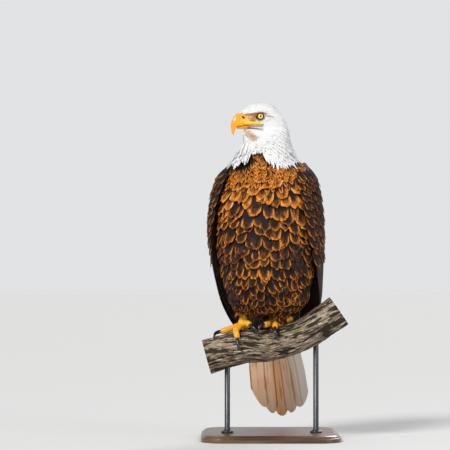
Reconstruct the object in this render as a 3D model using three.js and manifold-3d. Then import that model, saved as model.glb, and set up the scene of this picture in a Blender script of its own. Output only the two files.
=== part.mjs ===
// A life-size bald eagle gripping a cut length of branch, carried on a plain display stand.
// Millimetres, +Z up. The origin is on the floor under the middle of the whole model. The bird faces -Y, with
// its body turned a little and its head turned far towards its own right, -X.
import * as THREE from "three";
import { LoftGeometry } from "three/addons/geometries/LoftGeometry.js";
import { mergeVertices } from "three/addons/utils/BufferGeometryUtils.js";
import Module from "manifold-3d";

const wasm = await Module();
wasm.setup();

// Driving dimensions
const CUT = 0.6; // width of the thin cuts between neighbouring pieces
const BODY_YAW = 12.5; // degrees that the body turns towards its right
const HEAD_YAW = 65; // degrees that the head turns towards its right
const BODY_AXIS_X = 6; // where the body's upright axis stands
const EYE_MIDDLE = new THREE.Vector3(-25.8, -25, 840); // halfway between the two eyes
const EYE_RADIUS = 12;
const EYE_SIDE = 23.5; // how far each eyeball's centre lies from the middle of the head
const FACE_FORWARD = 40; // from the eyes to the forehead's front edge
const CHIN_DROP = 36; // from the eyes down to the chin
const ROD_RADIUS = 7;
const ROD_X = [-98, 132]; // where the right and the left rod stand
const BASE = { x: 14, y: 48, width: 360, depth: 345, height: 18, corner: 60, bevel: 3 };
const SIDES = 20; // points round the body's rings

const RAD = Math.PI / 180;
const vector = (x, y, z) => new THREE.Vector3(x, y, z);
const mix = (a, b, f) => a + (b - a) * f;

// ---- Solids: a closed geometry becomes a manifold solid, and a solid becomes a named mesh.

function solidOf(geometry) {
  const bare = new THREE.BufferGeometry().setAttribute("position", geometry.getAttribute("position"));
  const merged = mergeVertices(bare.setIndex(geometry.index), 1e-3);
  const kept = [];
  const index = merged.index.array;
  for (let i = 0; i < index.length; i += 3) {
    const [a, b, c] = index.slice(i, i + 3);
    if (a !== b && b !== c && c !== a) kept.push(a, b, c);
  }
  const build = (triVerts) =>
    new wasm.Manifold(
      new wasm.Mesh({
        numProp: 3,
        vertProperties: merged.attributes.position.array,
        triVerts: new Uint32Array(triVerts),
      }),
    );
  const made = build(kept);
  return made.volume() < 0 ? build(kept.reverse()) : made;
}

const largest = (made) => made.decompose().sort((a, b) => b.volume() - a.volume())[0];

function geometryOf(made) {
  const mesh = largest(made).simplify(0.2).getMesh();
  const places = new Float32Array(mesh.numVert * 3);
  for (let i = 0; i < mesh.numVert; i++) {
    const start = i * mesh.numProp;
    places.set(mesh.vertProperties.subarray(start, start + 3), i * 3);
  }
  const geometry = new THREE.BufferGeometry();
  geometry.setAttribute("position", new THREE.BufferAttribute(places, 3));
  geometry.setIndex(new THREE.BufferAttribute(mesh.triVerts, 1));
  geometry.computeVertexNormals();
  return geometry;
}

// Skins a row of rings and closes both ends. Every ring has to run anticlockwise as seen from the row's end.
function loft(sections) {
  const [first, next] = sections;
  const normal = vector(0, 0, 0);
  first.forEach((p, i) => normal.add(p.clone().cross(first[(i + 1) % first.length])));
  const ahead = first.reduce((sum, p, i) => sum.add(next[i]).sub(p), vector(0, 0, 0));
  const rings = normal.dot(ahead) > 0 ? sections : sections.map((points) => [...points].reverse());
  return solidOf(new LoftGeometry(rings, { capStart: true, capEnd: true }));
}

// A half-space as a large box, whose one face passes through point and looks along normal.
function beyond(point, normal) {
  const size = 2000;
  const box = new THREE.BoxGeometry(size, size, size).translate(0, 0, size / 2);
  const turn = new THREE.Quaternion().setFromUnitVectors(vector(0, 0, 1), normal.clone().normalize());
  return solidOf(box.applyQuaternion(turn).translate(point.x, point.y, point.z));
}

// Parts a solid into the side behind the plane and the side in front of it, a cut apart.
function split(made, point, normal) {
  const step = normal.clone().setLength(CUT / 2);
  const near = point.clone().sub(step);
  const far = point.clone().add(step);
  return [made.subtract(beyond(near, normal)), made.intersect(beyond(far, normal))];
}

// ---- Rings: cross-sections of the bird, each turned by a yaw and leaned back.

const place = (left, back, z) =>
  vector(
    BODY_AXIS_X + back * Math.sin(BODY_YAW * RAD) + left * Math.cos(BODY_YAW * RAD),
    back * Math.cos(BODY_YAW * RAD) - left * Math.sin(BODY_YAW * RAD),
    z,
  );

function axesOf(yaw, lean) {
  const [sin, cos] = [Math.sin(yaw * RAD), Math.cos(yaw * RAD)];
  const flat = Math.cos(lean * RAD);
  return { back: vector(sin * flat, cos * flat, Math.sin(lean * RAD)), left: vector(cos, -sin, 0) };
}

// A ring is [x, y, z, half depth, half width, yaw, lean, fullness]: fullness widens it towards its back.
const ring = (centre, depth, width, yaw, lean, full = 0) => [
  ...centre.toArray(), depth, width, yaw, lean, full,
];

// The ring at a fractional place along a list, by a Catmull-Rom spline through each of its numbers.
function ringAt(rings, t) {
  const last = rings.length - 1;
  const i = Math.min(Math.floor(t), last - 1);
  const f = t - i;
  const [p, q, r, s] = [-1, 0, 1, 2].map((k) => rings[Math.min(Math.max(i + k, 0), last)]);
  return q.map(
    (v, k) =>
      0.5 *
      (2 * v +
        (r[k] - p[k]) * f +
        (2 * p[k] - 5 * v + 4 * r[k] - s[k]) * f * f +
        (3 * v - p[k] - 3 * r[k] + s[k]) * f * f * f),
  );
}

// A ring's point at an angle from its front, positive towards the bird's left, grown outwards by a distance.
function ringPoint(numbers, angle, grow = 0) {
  const [x, y, z, depth, width, yaw, lean, full] = numbers;
  const { back, left } = axesOf(yaw, lean);
  const [sin, cos] = [Math.sin(angle), Math.cos(angle)];
  return vector(x, y, z)
    .addScaledVector(back, -(depth + grow) * cos)
    .addScaledVector(left, (width * (1 - full * cos) + grow) * sin);
}

function ringLoft(rings, steps, grow = 0) {
  const sections = [];
  for (let i = 0; i <= steps; i++) {
    const numbers = ringAt(rings, (i / steps) * (rings.length - 1));
    const points = [];
    for (let j = 0; j < SIDES; j++) points.push(ringPoint(numbers, (j / SIDES) * 2 * Math.PI, grow));
    sections.push(points);
  }
  return loft(sections);
}

// ---- Head: rings fan about the chin from the upright face round to the level neck.

const headAxes = axesOf(HEAD_YAW, 0);
const headPoint = (left, forward, up) =>
  EYE_MIDDLE.clone()
    .addScaledVector(headAxes.left, left)
    .addScaledVector(headAxes.back, -forward)
    .add(vector(0, 0, up));

const chin = headPoint(0, FACE_FORWARD, -CHIN_DROP);
const headReach = (fan) => 48 + 77 * Math.pow(Math.sin(fan * RAD), 1.25);

function headRing([fan, width, full]) {
  const [near, far] = [2, headReach(fan)];
  const { back } = axesOf(HEAD_YAW, 90 - fan);
  const centre = chin.clone().addScaledVector(back, (near + far) / 2);
  return ring(centre, (far - near) / 2, width, HEAD_YAW, 90 - fan, full);
}

const headRings = [
  [0, 15, 0.2], [16, 18, 0.35], [32, 23, 0.5], [48, 31, 0.75], [64, 36, 0.75], [80, 39, 0.6],
].map(headRing);

// Neck, trunk and tail root: centre, half depth, half width, yaw, lean, fullness.
const trunkRings = [
  ring(vector(-3, -13, 768), 63, 53, 54, 8, 0.35),
  ring(place(-6, -8, 734), 72, 76, 34, 10, 0.1),
  ring(place(0, -4, 700), 90, 103, 18, 13),
  ring(place(0, -3, 655), 112, 121, BODY_YAW, 15),
  ring(place(0, -3, 600), 127, 130, BODY_YAW, 16),
  ring(place(0, 0, 540), 134, 133, BODY_YAW, 16),
  ring(place(0, 7, 480), 133, 129, BODY_YAW, 17),
  ring(place(0, 20, 420), 126, 119, BODY_YAW, 18),
  ring(place(0, 38, 376), 104, 102, BODY_YAW, 20),
  ring(place(0, 70, 345), 74, 80, BODY_YAW, 20),
  ring(place(0, 104, 294), 40, 60, BODY_YAW, 22),
  ring(place(0, 126, 262), 18, 52, BODY_YAW, 22),
];
const bodyRings = [...headRings, ...trunkRings];
const body = (grow = 0) => ringLoft(bodyRings, 27, grow);

// ---- Bill: sections run from the biting edge to the ridge and swing round with the hook.

function tube(stations, sides = 12) {
  return loft(
    stations.map(({ middle, across, along, halfWidth, halfHeight }) => {
      const points = [];
      for (let j = 0; j < sides; j++) {
        const angle = (j / sides) * 2 * Math.PI;
        points.push(
          middle
            .clone()
            .addScaledVector(across, halfWidth * Math.cos(angle))
            .addScaledVector(along, halfHeight * Math.sin(angle)),
        );
      }
      return points;
    }),
  );
}

// Each row: ridge forward and up, edge forward and up, half width.
const upperBillRows = [
  [34, 13, 30, -28, 14.5], [46, 10, 43, -30, 14], [54, 4.5, 50, -31, 12.5], [61, -3.5, 55, -33.5, 11],
  [66, -13, 58, -37, 9], [69, -24, 59, -40.5, 6.6], [69, -34, 60, -43.5, 4.6], [66.5, -43, 61, -46.5, 2.8],
  [62.5, -50.5, 61.5, -50, 0.7],
];
const lowerBillRows = [
  [26, -29, 24, -38.5, 12], [38, -31, 36, -39, 10.5], [47, -33, 46, -38.5, 7.5], [52, -35, 52, -37, 3.5],
];

function bill(rows, grow = 0) {
  const stations = rows.map(([ridgeForward, ridgeUp, edgeForward, edgeUp, halfWidth]) => {
    const ridge = headPoint(0, ridgeForward, ridgeUp);
    const edge = headPoint(0, edgeForward, edgeUp);
    const along = ridge.clone().sub(edge).normalize();
    return {
      middle: ridge.clone().add(edge).multiplyScalar(0.5),
      across: headAxes.left,
      along,
      halfWidth: halfWidth + grow,
      halfHeight: ridge.distanceTo(edge) / 2 + grow,
    };
  });
  return tube(stations, 14);
}

// The brow juts over each eye, from behind it down towards the bill.
function brow(side) {
  const stations = [-16, -4, 10, 24].map((forward, i) => ({
    middle: headPoint(side * [31, 33, 27, 19][i], forward, [8, 9.5, 8, 3][i]),
    across: headAxes.left,
    along: vector(0, 0, 1),
    halfWidth: [3, 5, 5, 3][i],
    halfHeight: [2, 4, 4, 2.5][i],
  }));
  return tube(stations, 8);
}

const eyeball = (side, grow = 0) => {
  const centre = headPoint(side * EYE_SIDE, 0, 0);
  const ball = new THREE.SphereGeometry(EYE_RADIUS + grow, 12, 8);
  return solidOf(ball.rotateX(Math.PI / 2).translate(centre.x, centre.y, centre.z));
};

// ---- Wings: thin shells over the flanks and back that run down past the tail's root.

const wingRings = [
  ring(place(-2, 6, 716), 84, 108, BODY_YAW, 12),
  ring(place(-4, 2, 690), 106, 128, BODY_YAW, 13),
  ring(place(-5, 0, 650), 124, 143, BODY_YAW, 15),
  ring(place(-5, 0, 600), 139, 151, BODY_YAW, 16),
  ring(place(-4, 3, 540), 147, 154, BODY_YAW, 16),
  ring(place(-2, 10, 480), 147, 151, BODY_YAW, 17),
  ring(place(-1, 24, 420), 140, 145, BODY_YAW, 18),
  ring(place(-1, 48, 360), 122, 138, BODY_YAW, 20),
  ring(place(-3, 84, 300), 94, 122, BODY_YAW, 21),
  ring(place(-6, 122, 240), 64, 92, BODY_YAW, 21),
  ring(place(-6, 157, 180), 38, 62, BODY_YAW, 21),
  ring(place(-4, 186, 120), 20, 36, BODY_YAW, 21),
];

// A wing's front edge and its edge beside the spine, in degrees round from the breast, for each ring.
const WING_FRONT = [52, 54, 58, 62, 67, 74, 82, 92, 104, 118, 134, 150];
const WING_BACK = [138, 150, 160, 166, 170, 173, 175, 176, 176, 176, 176, 176];
const smooth = (list, t) => {
  const i = Math.min(Math.floor(t), list.length - 2);
  return mix(list[i], list[i + 1], t - i);
};

function wing(side) {
  const steps = 18;
  const around = 16;
  const sections = [];
  for (let i = 0; i <= steps; i++) {
    const share = i / steps;
    const t = share * (wingRings.length - 1);
    const numbers = ringAt(wingRings, t);
    const open = Math.min(1, Math.sqrt(Math.sin(Math.min(share * 7, 1) * 90 * RAD) + 0.02)) *
      Math.min(1, Math.sqrt((1 - share) * 9 + 0.02));
    const middle = (smooth(WING_FRONT, t) + smooth(WING_BACK, t)) / 2;
    const half = ((smooth(WING_BACK, t) - smooth(WING_FRONT, t)) / 2) * open;
    const thick = mix(34, 7, Math.min(1, Math.max(0, (share - 0.5) / 0.25))) * open;
    const points = [];
    for (let j = 0; j < around; j++) {
      const turn = (j / around) * 2 * Math.PI;
      const angle = side * (middle - half * Math.cos(turn)) * RAD;
      const inset = Math.sin(turn) > 0 ? 0 : thick * Math.pow(-Math.sin(turn), 0.6);
      points.push(ringPoint(numbers, angle, -inset));
    }
    sections.push(points);
  }
  return loft(sections);
}

// ---- Thighs: feathered drumsticks that reach down to the shanks.

// Each row: share of the way down to the hem, share of the way over to the foot, y, half width, half depth.
const thighRows = [
  [0, 0, 4, 46, 58], [0.27, 0, -8, 52, 62], [0.63, 0.1, -14, 47, 52], [0.84, 0.4, -12, 36, 38],
  [1, 0.85, -5, 21, 22],
];

function thigh({ hipX, x, hemZ }, grow = 0) {
  const stations = thighRows.map(([down, over, y, halfWidth, halfDepth]) => ({
    middle: vector(mix(hipX, x, over), y, mix(436, hemZ, down)),
    across: vector(1, 0, 0),
    along: vector(0, 1, 0),
    halfWidth: halfWidth + grow,
    halfHeight: halfDepth + grow,
  }));
  return tube(stations, 18);
}

// ---- Tail: a shallow fan of twelve feathers, its tip cut in twelve rounded steps.

const TAIL = {
  root: { left: -11, back: 104, z: 306 },
  tip: { left: -4, back: 214, z: 46 },
  rootHalf: 45,
  tipHalf: 76,
  feathers: 12,
};

// share runs from the root to the tip, across from -1 to 1, and lift is the height over the tail's mid sheet.
function tailPoint(share, across, lift) {
  const half = mix(TAIL.rootHalf, TAIL.tipHalf, Math.sin(Math.min(share / 0.6, 1) * 90 * RAD));
  const arch = 9 * (1 - across * across) * (1 - 0.4 * share);
  const reach = share * (1 - 0.17 * Math.pow(Math.abs(across), 1.8) * share);
  const { root, tip } = TAIL;
  return place(
    mix(root.left, tip.left, reach) + across * half,
    mix(root.back, tip.back, reach) + arch + lift,
    mix(root.z, tip.z, reach) + lift * 0.35,
  );
}

function tail(grow = 0) {
  const columns = TAIL.feathers * 2;
  const steps = 6;
  const sections = [];
  for (let i = 0; i <= steps; i++) {
    const share = i / steps;
    const half = mix(4.5, 2, share) + grow;
    const edge = (j, lift) => tailPoint(share * scallop(j, share), (j / columns) * 2 - 1, lift);
    const points = [];
    for (let j = 0; j <= columns; j++) points.push(edge(j, half));
    for (let j = columns; j >= 0; j--) points.push(edge(j, -half));
    sections.push(points);
  }
  return loft(sections);
}

// Every second point of the tail's edge lies a little short, which rounds each feather's tip.
const scallop = (j, share) => (j % 2 ? 1 : 1 - 0.03 * share);

// ---- Perch: a rising, slightly bent branch with shallow ridges.

const perchCurve = new THREE.CatmullRomCurve3(
  [[-152, 214], [-57, 240], [13, 244], [91, 269], [143, 300], [192, 334]].map(([x, z]) => vector(x, 0, z)),
);
const PERCH_RADII = [47, 46, 45, 42, 43, 44, 44];

// The branch's middle, its radius and the two directions across it, at a share of its length.
function perchFrame(share) {
  const middle = perchCurve.getPointAt(share);
  const up = perchCurve.getTangentAt(share).cross(vector(0, 1, 0)).normalize();
  return { middle, up, radius: smooth(PERCH_RADII, share * (PERCH_RADII.length - 1)) };
}

function perch() {
  const steps = 12;
  const sections = [];
  for (let i = 0; i <= steps; i++) {
    const { middle, up, radius } = perchFrame(i / steps);
    const points = [];
    for (let j = 0; j < SIDES; j++) {
      const angle = (j / SIDES) * 2 * Math.PI;
      const ridge = 0.008 * Math.sin(angle * 5) + 0.008 * Math.cos(angle * 3 + middle.x * 0.02);
      const reach = radius * (0.985 + ridge);
      const flat = vector(0, -reach * Math.cos(angle), 0);
      points.push(middle.clone().add(flat).addScaledVector(up, reach * Math.sin(angle)));
    }
    sections.push(points);
  }
  return loft(sections);
}

// A point over the branch: its x, degrees round from the front up over the top, and height off the bark.
function overPerch([x, degrees, height]) {
  const at = (share) => {
    const { middle, up, radius } = perchFrame(share);
    const out = vector(0, -Math.cos(degrees * RAD), 0).addScaledVector(up, Math.sin(degrees * RAD));
    return { point: middle.addScaledVector(out, radius + height), out };
  };
  let [low, high] = [0, 1];
  for (let i = 0; i < 24; i++) {
    const share = (low + high) / 2;
    if (at(share).point.x < x) low = share;
    else high = share;
  }
  return at(low);
}

// ---- Feet: a shank, a palm and four toes that grip the branch, each toe with its own claw.

// Each toe and claw is a line of points over the branch, as overPerch takes them.
const FEET = {
  right: {
    side: -1,
    x: -57,
    hipX: -52,
    hemZ: 330,
    toes: {
      inner: [[-54, 88, 14], [-46, 74, 17], [-39, 62, 16]],
      middle: [[-62, 86, 13], [-75, 62, 9], [-74, 42, 8.5], [-72, 27, 8.5]],
      outer: [[-62, 92, 12], [-82, 86, 9], [-102, 82, 8], [-118, 79, 8]],
      rear: [[-55, 96, 12], [-52, 118, 9], [-50, 138, 8.5]],
    },
    claws: {
      inner: [[-42, 66, 16.5], [-36, 56, 19], [-27, 46, 19], [-17, 35, 13], [-9, 24, 3]],
      middle: [[-72.5, 31, 9], [-72, 20, 11], [-70, 8, 13], [-65, -3, 10], [-58, -12, 1]],
      outer: [[-114, 79, 8], [-122, 77, 9], [-129, 69, 10], [-132, 60, 7], [-133, 52, 0]],
      rear: [[-50, 134, 9], [-49.5, 146, 12], [-48, 158, 13], [-46, 170, 10], [-44, 181, 0.5]],
    },
  },
  left: {
    side: 1,
    x: 28,
    hipX: 70,
    hemZ: 318,
    toes: {
      inner: [[22, 90, 13], [8, 80, 15], [-4, 68, 16]],
      middle: [[28, 86, 13], [27, 70, 13], [25, 51, 12]],
      outer: [[34, 92, 12], [48, 96, 9], [62, 98, 8], [73, 98, 8]],
      rear: [[26, 96, 12], [24, 118, 9], [22, 138, 8.5]],
    },
    claws: {
      inner: [[-1, 71, 16], [-8, 65, 19], [-14, 58, 18], [-17, 50, 12], [-17, 43, 2]],
      middle: [[25, 55, 12], [25, 44, 14], [26, 33, 14], [28, 22, 10], [31, 12, 1]],
      outer: [[69, 98, 8], [77, 96, 9], [84, 90, 9], [88, 82, 6], [89, 75, 0]],
      rear: [[22, 134, 9], [21.5, 146, 12], [21, 158, 13], [19.5, 170, 10], [18, 181, 0.5]],
    },
  },
};

// Round sections along a smooth line over the branch, their radii given from its root to its tip. Growing it
// moves its ends out as well.
function gripTube(places, radii, steps, grow) {
  const spots = places.map(overPerch);
  const line = new THREE.CatmullRomCurve3(spots.map(({ point }) => point));
  const outs = new THREE.CatmullRomCurve3(spots.map(({ out }) => out));
  const stations = [];
  for (let i = 0; i <= steps; i++) {
    const share = i / steps;
    const along = outs.getPoint(share).normalize();
    const tangent = line.getTangent(share);
    const across = tangent.clone().cross(along).normalize();
    const radius = smooth(radii, share * (radii.length - 1)) + grow;
    const end = i === 0 ? -grow : i === steps ? grow : 0;
    const middle = line.getPoint(share).addScaledVector(tangent, end);
    stations.push({ middle, across, along, halfWidth: radius, halfHeight: radius });
  }
  return tube(stations, 8);
}

const toeSolid = (places, grow = 0) => gripTube(places, [9, 8.4, 8, 7.9, 7.4, 5.4], 6, grow);
const clawSolid = (places, grow = 0) => gripTube(places, [4.6, 5, 4.3, 3, 0.6], 6, grow);

function palmSolid({ x, toes }, grow = 0) {
  const top = overPerch([x, 90, 0]).point;
  const palm = [[0, 0, 5, 11, 12], [0, 0, 14, 14, 15], [0, 1, 24, 12, 13], [0, 3, 36, 8, 8.5]].map(
    ([dx, dy, dz, halfWidth, halfDepth]) => ({
      middle: top.clone().add(vector(dx, dy, dz)),
      across: vector(1, 0, 0),
      along: vector(0, 1, 0),
      halfWidth: halfWidth + grow,
      halfHeight: halfDepth + grow,
    }),
  );
  return Object.values(toes).reduce((made, places) => made.add(toeSolid(places, grow)), tube(palm, 14));
}

function shankSolid({ x, side }, grow = 0) {
  const top = overPerch([x, 90, 0]).point.z;
  const stations = [[0, 2.5, top + 30, 7.5], [side * 1, 5, top + 48, 7.5], [side * 3, 12, top + 76, 10]].map(
    ([dx, y, z, radius]) => ({
      middle: vector(x + dx, y, z),
      across: vector(1, 0, 0),
      along: vector(0, 1, 0),
      halfWidth: radius + grow,
      halfHeight: radius + grow,
    }),
  );
  return tube(stations, 14);
}

// ---- Stand: a flat base and two short rods up into the branch.

function baseSolid() {
  const { x, y, width, depth, height, corner, bevel } = BASE;
  const [w, d] = [width / 2 - bevel, depth / 2 - bevel];
  const outline = new THREE.Shape();
  outline.moveTo(-w + corner, -d).lineTo(w - corner, -d);
  outline.absarc(w - corner, -d + corner, corner, -Math.PI / 2, 0, false);
  outline.absarc(w - corner, d - corner, corner, 0, Math.PI / 2, false);
  outline.absarc(-w + corner, d - corner, corner, Math.PI / 2, Math.PI, false);
  outline.absarc(-w + corner, -d + corner, corner, Math.PI, 1.5 * Math.PI, false);
  const options = {
    depth: height - 2 * bevel,
    bevelSize: bevel,
    bevelThickness: bevel,
    bevelSegments: 1,
    curveSegments: 4,
  };
  return solidOf(new THREE.ExtrudeGeometry(outline, options).translate(x, y, bevel));
}

function rodSolid(x, grow = 0) {
  const top = overPerch([x, -90, 0]).point.z + 22;
  const low = BASE.height - 8;
  const rod = new THREE.CylinderGeometry(ROD_RADIUS + grow, ROD_RADIUS + grow, top - low + 2 * grow, 16);
  return solidOf(rod.rotateX(Math.PI / 2).translate(x, 0, (top + low) / 2));
}

// ---- Assembly

const COLOURS = {
  white: { color: 0xe9e6df, roughness: 0.8 },
  brown: { color: 0x3a2413, roughness: 0.85 },
  quill: { color: 0x15110e, roughness: 0.7 },
  bill: { color: 0xe8a012, roughness: 0.4 },
  eye: { color: 0xe6c531, roughness: 0.12 },
  scale: { color: 0xd99a14, roughness: 0.55 },
  claw: { color: 0x16181b, roughness: 0.3 },
  bark: { color: 0x6b5f52, roughness: 0.95 },
  steel: { color: 0x3c3e41, roughness: 0.4, metalness: 0.8 },
  wood: { color: 0x2b1a10, roughness: 0.5 },
};
const materials = Object.fromEntries(
  Object.entries(COLOURS).map(([name, look]) => [name, new THREE.MeshStandardMaterial(look)]),
);
const eagle = new THREE.Group();

function addPiece(name, made, material) {
  const mesh = new THREE.Mesh(geometryOf(made), materials[material]);
  mesh.name = name;
  eagle.add(mesh);
}

// Takes each of the cutters out of a solid.
const without = (made, ...cutters) => cutters.reduce((left, cutter) => left.subtract(cutter), made);

const feet = Object.values(FEET);
const grownBody = body(CUT);
const grownBills = [bill(upperBillRows, CUT), bill(lowerBillRows, CUT)];
const eyeSockets = [eyeball(-1, CUT), eyeball(1, CUT)];

// Flesh: the body's loft is parted into head, neck, trunk and tail root.
const whole = without(body().add(brow(-1)).add(brow(1)), ...grownBills, ...eyeSockets);
const [head, belowHead] = split(whole, chin, axesOf(HEAD_YAW, 10).back.cross(headAxes.left));
const bodyLeft = axesOf(BODY_YAW, 0).left;
const downwards = (lean) => axesOf(BODY_YAW, lean).back.cross(bodyLeft);
const [neck, belowNeck] = split(belowHead, place(0, -4, 712), downwards(14));
const [trunk, tailRoot] = split(belowNeck, place(0, 84, 318), downwards(24));
addPiece("head", head, "white");
addPiece("neck", neck, "white");

const grownThighs = feet.map((foot) => thigh(foot, CUT));
const grownShanks = feet.map((foot) => shankSolid(foot, CUT));
const grownPalms = feet.map((foot) => palmSolid(foot, CUT));
const grownTail = tail(CUT);
addPiece("trunk", without(trunk, ...grownThighs, ...grownShanks, ...grownPalms), "brown");
addPiece("tail_coverts", tailRoot, "white");
addPiece("tail", without(tail(), grownBody), "white");

addPiece("bill_lower", without(bill(lowerBillRows), grownBills[0]), "bill");
addPiece("bill_upper", bill(upperBillRows), "bill");

Object.entries(FEET).forEach(([name, foot], i) => {
  addPiece("eye_" + name, without(eyeball(foot.side), ...grownBills), "eye");

  const ownSide = beyond(place(foot.side * 0.6, 0, 0), bodyLeft.clone().multiplyScalar(foot.side));
  const shell = without(wing(foot.side).intersect(ownSide), grownBody, ...grownThighs, grownTail);
  const [aboveFlight, flight] = split(shell, place(0, 60, 470), downwards(35));
  const [secondaries, primaries] = split(flight, place(0, 120, 300), downwards(35));
  addPiece("wing_" + name + "_coverts", aboveFlight, "brown");
  addPiece("wing_" + name + "_secondaries", secondaries, "quill");
  addPiece("wing_" + name + "_primaries", primaries, "quill");

  addPiece("thigh_" + name, without(thigh(foot), grownShanks[i], grownPalms[i]), "brown");
  addPiece("shank_" + name, without(shankSolid(foot), grownPalms[i]), "scale");
  addPiece("foot_" + name, palmSolid(foot), "scale");
  Object.entries(foot.claws).forEach(([toe, places]) => {
    addPiece("claw_" + name + "_" + toe, without(clawSolid(places), grownPalms[i]), "claw");
  });
});

const grownClaws = feet.flatMap((foot) => Object.values(foot.claws).map((places) => clawSolid(places, CUT)));
const grownRods = ROD_X.map((x) => rodSolid(x, CUT));
addPiece("perch", without(perch(), ...grownPalms, ...grownClaws, ...grownRods), "bark");
ROD_X.forEach((x, i) => addPiece("stand_rod_" + ["right", "left"][i], rodSolid(x), "steel"));
addPiece("stand_base", without(baseSolid(), ...grownRods), "wood");

// The origin moves to the floor under the middle of the whole model.
const middle = new THREE.Box3().setFromObject(eagle).getCenter(vector(0, 0, 0));
eagle.position.set(-middle.x, -middle.y, 0);

export default eagle;
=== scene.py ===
import bpy
import numpy as np
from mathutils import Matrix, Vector


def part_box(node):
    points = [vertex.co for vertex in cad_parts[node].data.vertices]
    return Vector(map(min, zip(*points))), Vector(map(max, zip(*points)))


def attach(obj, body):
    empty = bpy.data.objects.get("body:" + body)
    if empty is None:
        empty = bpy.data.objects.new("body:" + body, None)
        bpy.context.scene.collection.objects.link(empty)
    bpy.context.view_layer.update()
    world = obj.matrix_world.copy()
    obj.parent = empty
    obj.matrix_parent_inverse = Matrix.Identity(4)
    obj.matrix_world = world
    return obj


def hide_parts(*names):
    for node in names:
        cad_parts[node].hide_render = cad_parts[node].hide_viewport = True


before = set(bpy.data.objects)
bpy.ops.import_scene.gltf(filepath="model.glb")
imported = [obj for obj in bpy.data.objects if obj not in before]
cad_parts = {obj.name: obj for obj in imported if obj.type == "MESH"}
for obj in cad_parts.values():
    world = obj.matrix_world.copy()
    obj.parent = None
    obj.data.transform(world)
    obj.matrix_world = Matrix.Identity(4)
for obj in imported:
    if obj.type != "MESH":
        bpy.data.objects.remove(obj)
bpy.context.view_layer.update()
print("frame loaded:", len(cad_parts), "nodes")

# all shapes are worked out in millimetres and turned into metres when a mesh is made

rodMiddle = (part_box("stand_rod_right")[0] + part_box("stand_rod_right")[1]) / 2
rodPlan = {"right": -98.0, "left": 132.0, "radius": 7.0}
origin = np.array([rodPlan["right"] - 1000 * rodMiddle.x, -1000 * rodMiddle.y, 0.0])
rng = np.random.default_rng(11)


def toMetres(points):
    # origin puts the stand's right rod over its node in the frame
    return (points - origin) / 1000


def mix(a, b, f):
    return a + (b - a) * f


def ease(low, high, x):
    # 3f^2 - 2f^3 of the clamped share f of the way from low to high
    f = np.clip((x - low) / (high - low), 0, 1)
    return f * f * (3 - 2 * f)


def spline(rows, t):
    # Catmull-Rom through the rows: half of 2q + (r-p)f + (2p-5q+4r-s)f^2 + (3q-p-3r+s)f^3
    rows = np.asarray(rows, float)
    last = len(rows) - 1
    t = np.clip(t, 0, last)
    i = np.clip(np.floor(t).astype(int), 0, last - 1)
    f = (t - i)[..., None]
    p, q, r, s = (rows[np.clip(i + k, 0, last)] for k in (-1, 0, 1, 2))
    return 0.5 * (2 * q + (r - p) * f + (2 * p - 5 * q + 4 * r - s) * f**2 + (3 * q - p - 3 * r + s) * f**3)


def noise(points, seed):
    # hashed values at whole-number corners, blended by 3f^2 - 2f^3 along each axis; from -1 to 1
    points = np.asarray(points, float)
    cell = np.floor(points).astype(np.int64)
    f = points - cell
    f = f * f * (3 - 2 * f)
    total = np.zeros(points.shape[:-1])
    for corner in np.ndindex(2, 2, 2):
        c = cell + np.array(corner)
        h = c[..., 0] * 73856093 ^ c[..., 1] * 19349663 ^ c[..., 2] * 83492791 ^ seed * 2654435
        h = (h ^ (h >> 13)) * 1274126177
        share = np.where(corner, f, 1 - f).prod(-1)
        total += share * (((h ^ (h >> 16)) & 0xFFFF) / 32767.5 - 1)
    return total


def axesOf(yaw, lean):
    # back = (sin yaw cos lean, cos yaw cos lean, sin lean), left = (cos yaw, -sin yaw, 0)
    yaw, lean = np.radians(yaw), np.radians(lean)
    back = np.stack([np.sin(yaw) * np.cos(lean), np.cos(yaw) * np.cos(lean), np.sin(lean) + 0 * yaw], -1)
    left = np.stack([np.cos(yaw), -np.sin(yaw), 0 * yaw], -1)
    return back, left


bird = {
    "bodyYaw": 12.5,  # degrees that the body turns towards its right
    "headYaw": 65.0,
    "axisX": 6.0,
    "eyeMiddle": (-25.8, -25.0, 840.0),
    "eyeRadius": 12.0,
    "eyeSide": 23.5,
    "faceForward": 40.0,
    "chinDrop": 36.0,
}


def place(left, back, z):
    # the body's own axes: (axisX + back sin(yaw) + left cos(yaw), back cos(yaw) - left sin(yaw), z)
    turn = np.radians(bird["bodyYaw"])
    x = bird["axisX"] + back * np.sin(turn) + left * np.cos(turn)
    return np.stack(np.broadcast_arrays(x, back * np.cos(turn) - left * np.sin(turn), z), -1)


headBack, headLeft = axesOf(np.array(bird["headYaw"]), np.array(0.0))
eyeMiddle = np.array(bird["eyeMiddle"])


def headPoint(left, forward, up):
    # the head's own axes: the eye's middle, plus left, forward and up along them
    left, forward, up = (np.asarray(v, float)[..., None] for v in np.broadcast_arrays(left, forward, up))
    return eyeMiddle + left * headLeft - forward * headBack + up * np.array([0, 0, 1.0])


def headPlace(points):
    # left, forward and up of given points
    d = points - eyeMiddle
    return d @ headLeft, -(d @ headBack), d[..., 2]


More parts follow.
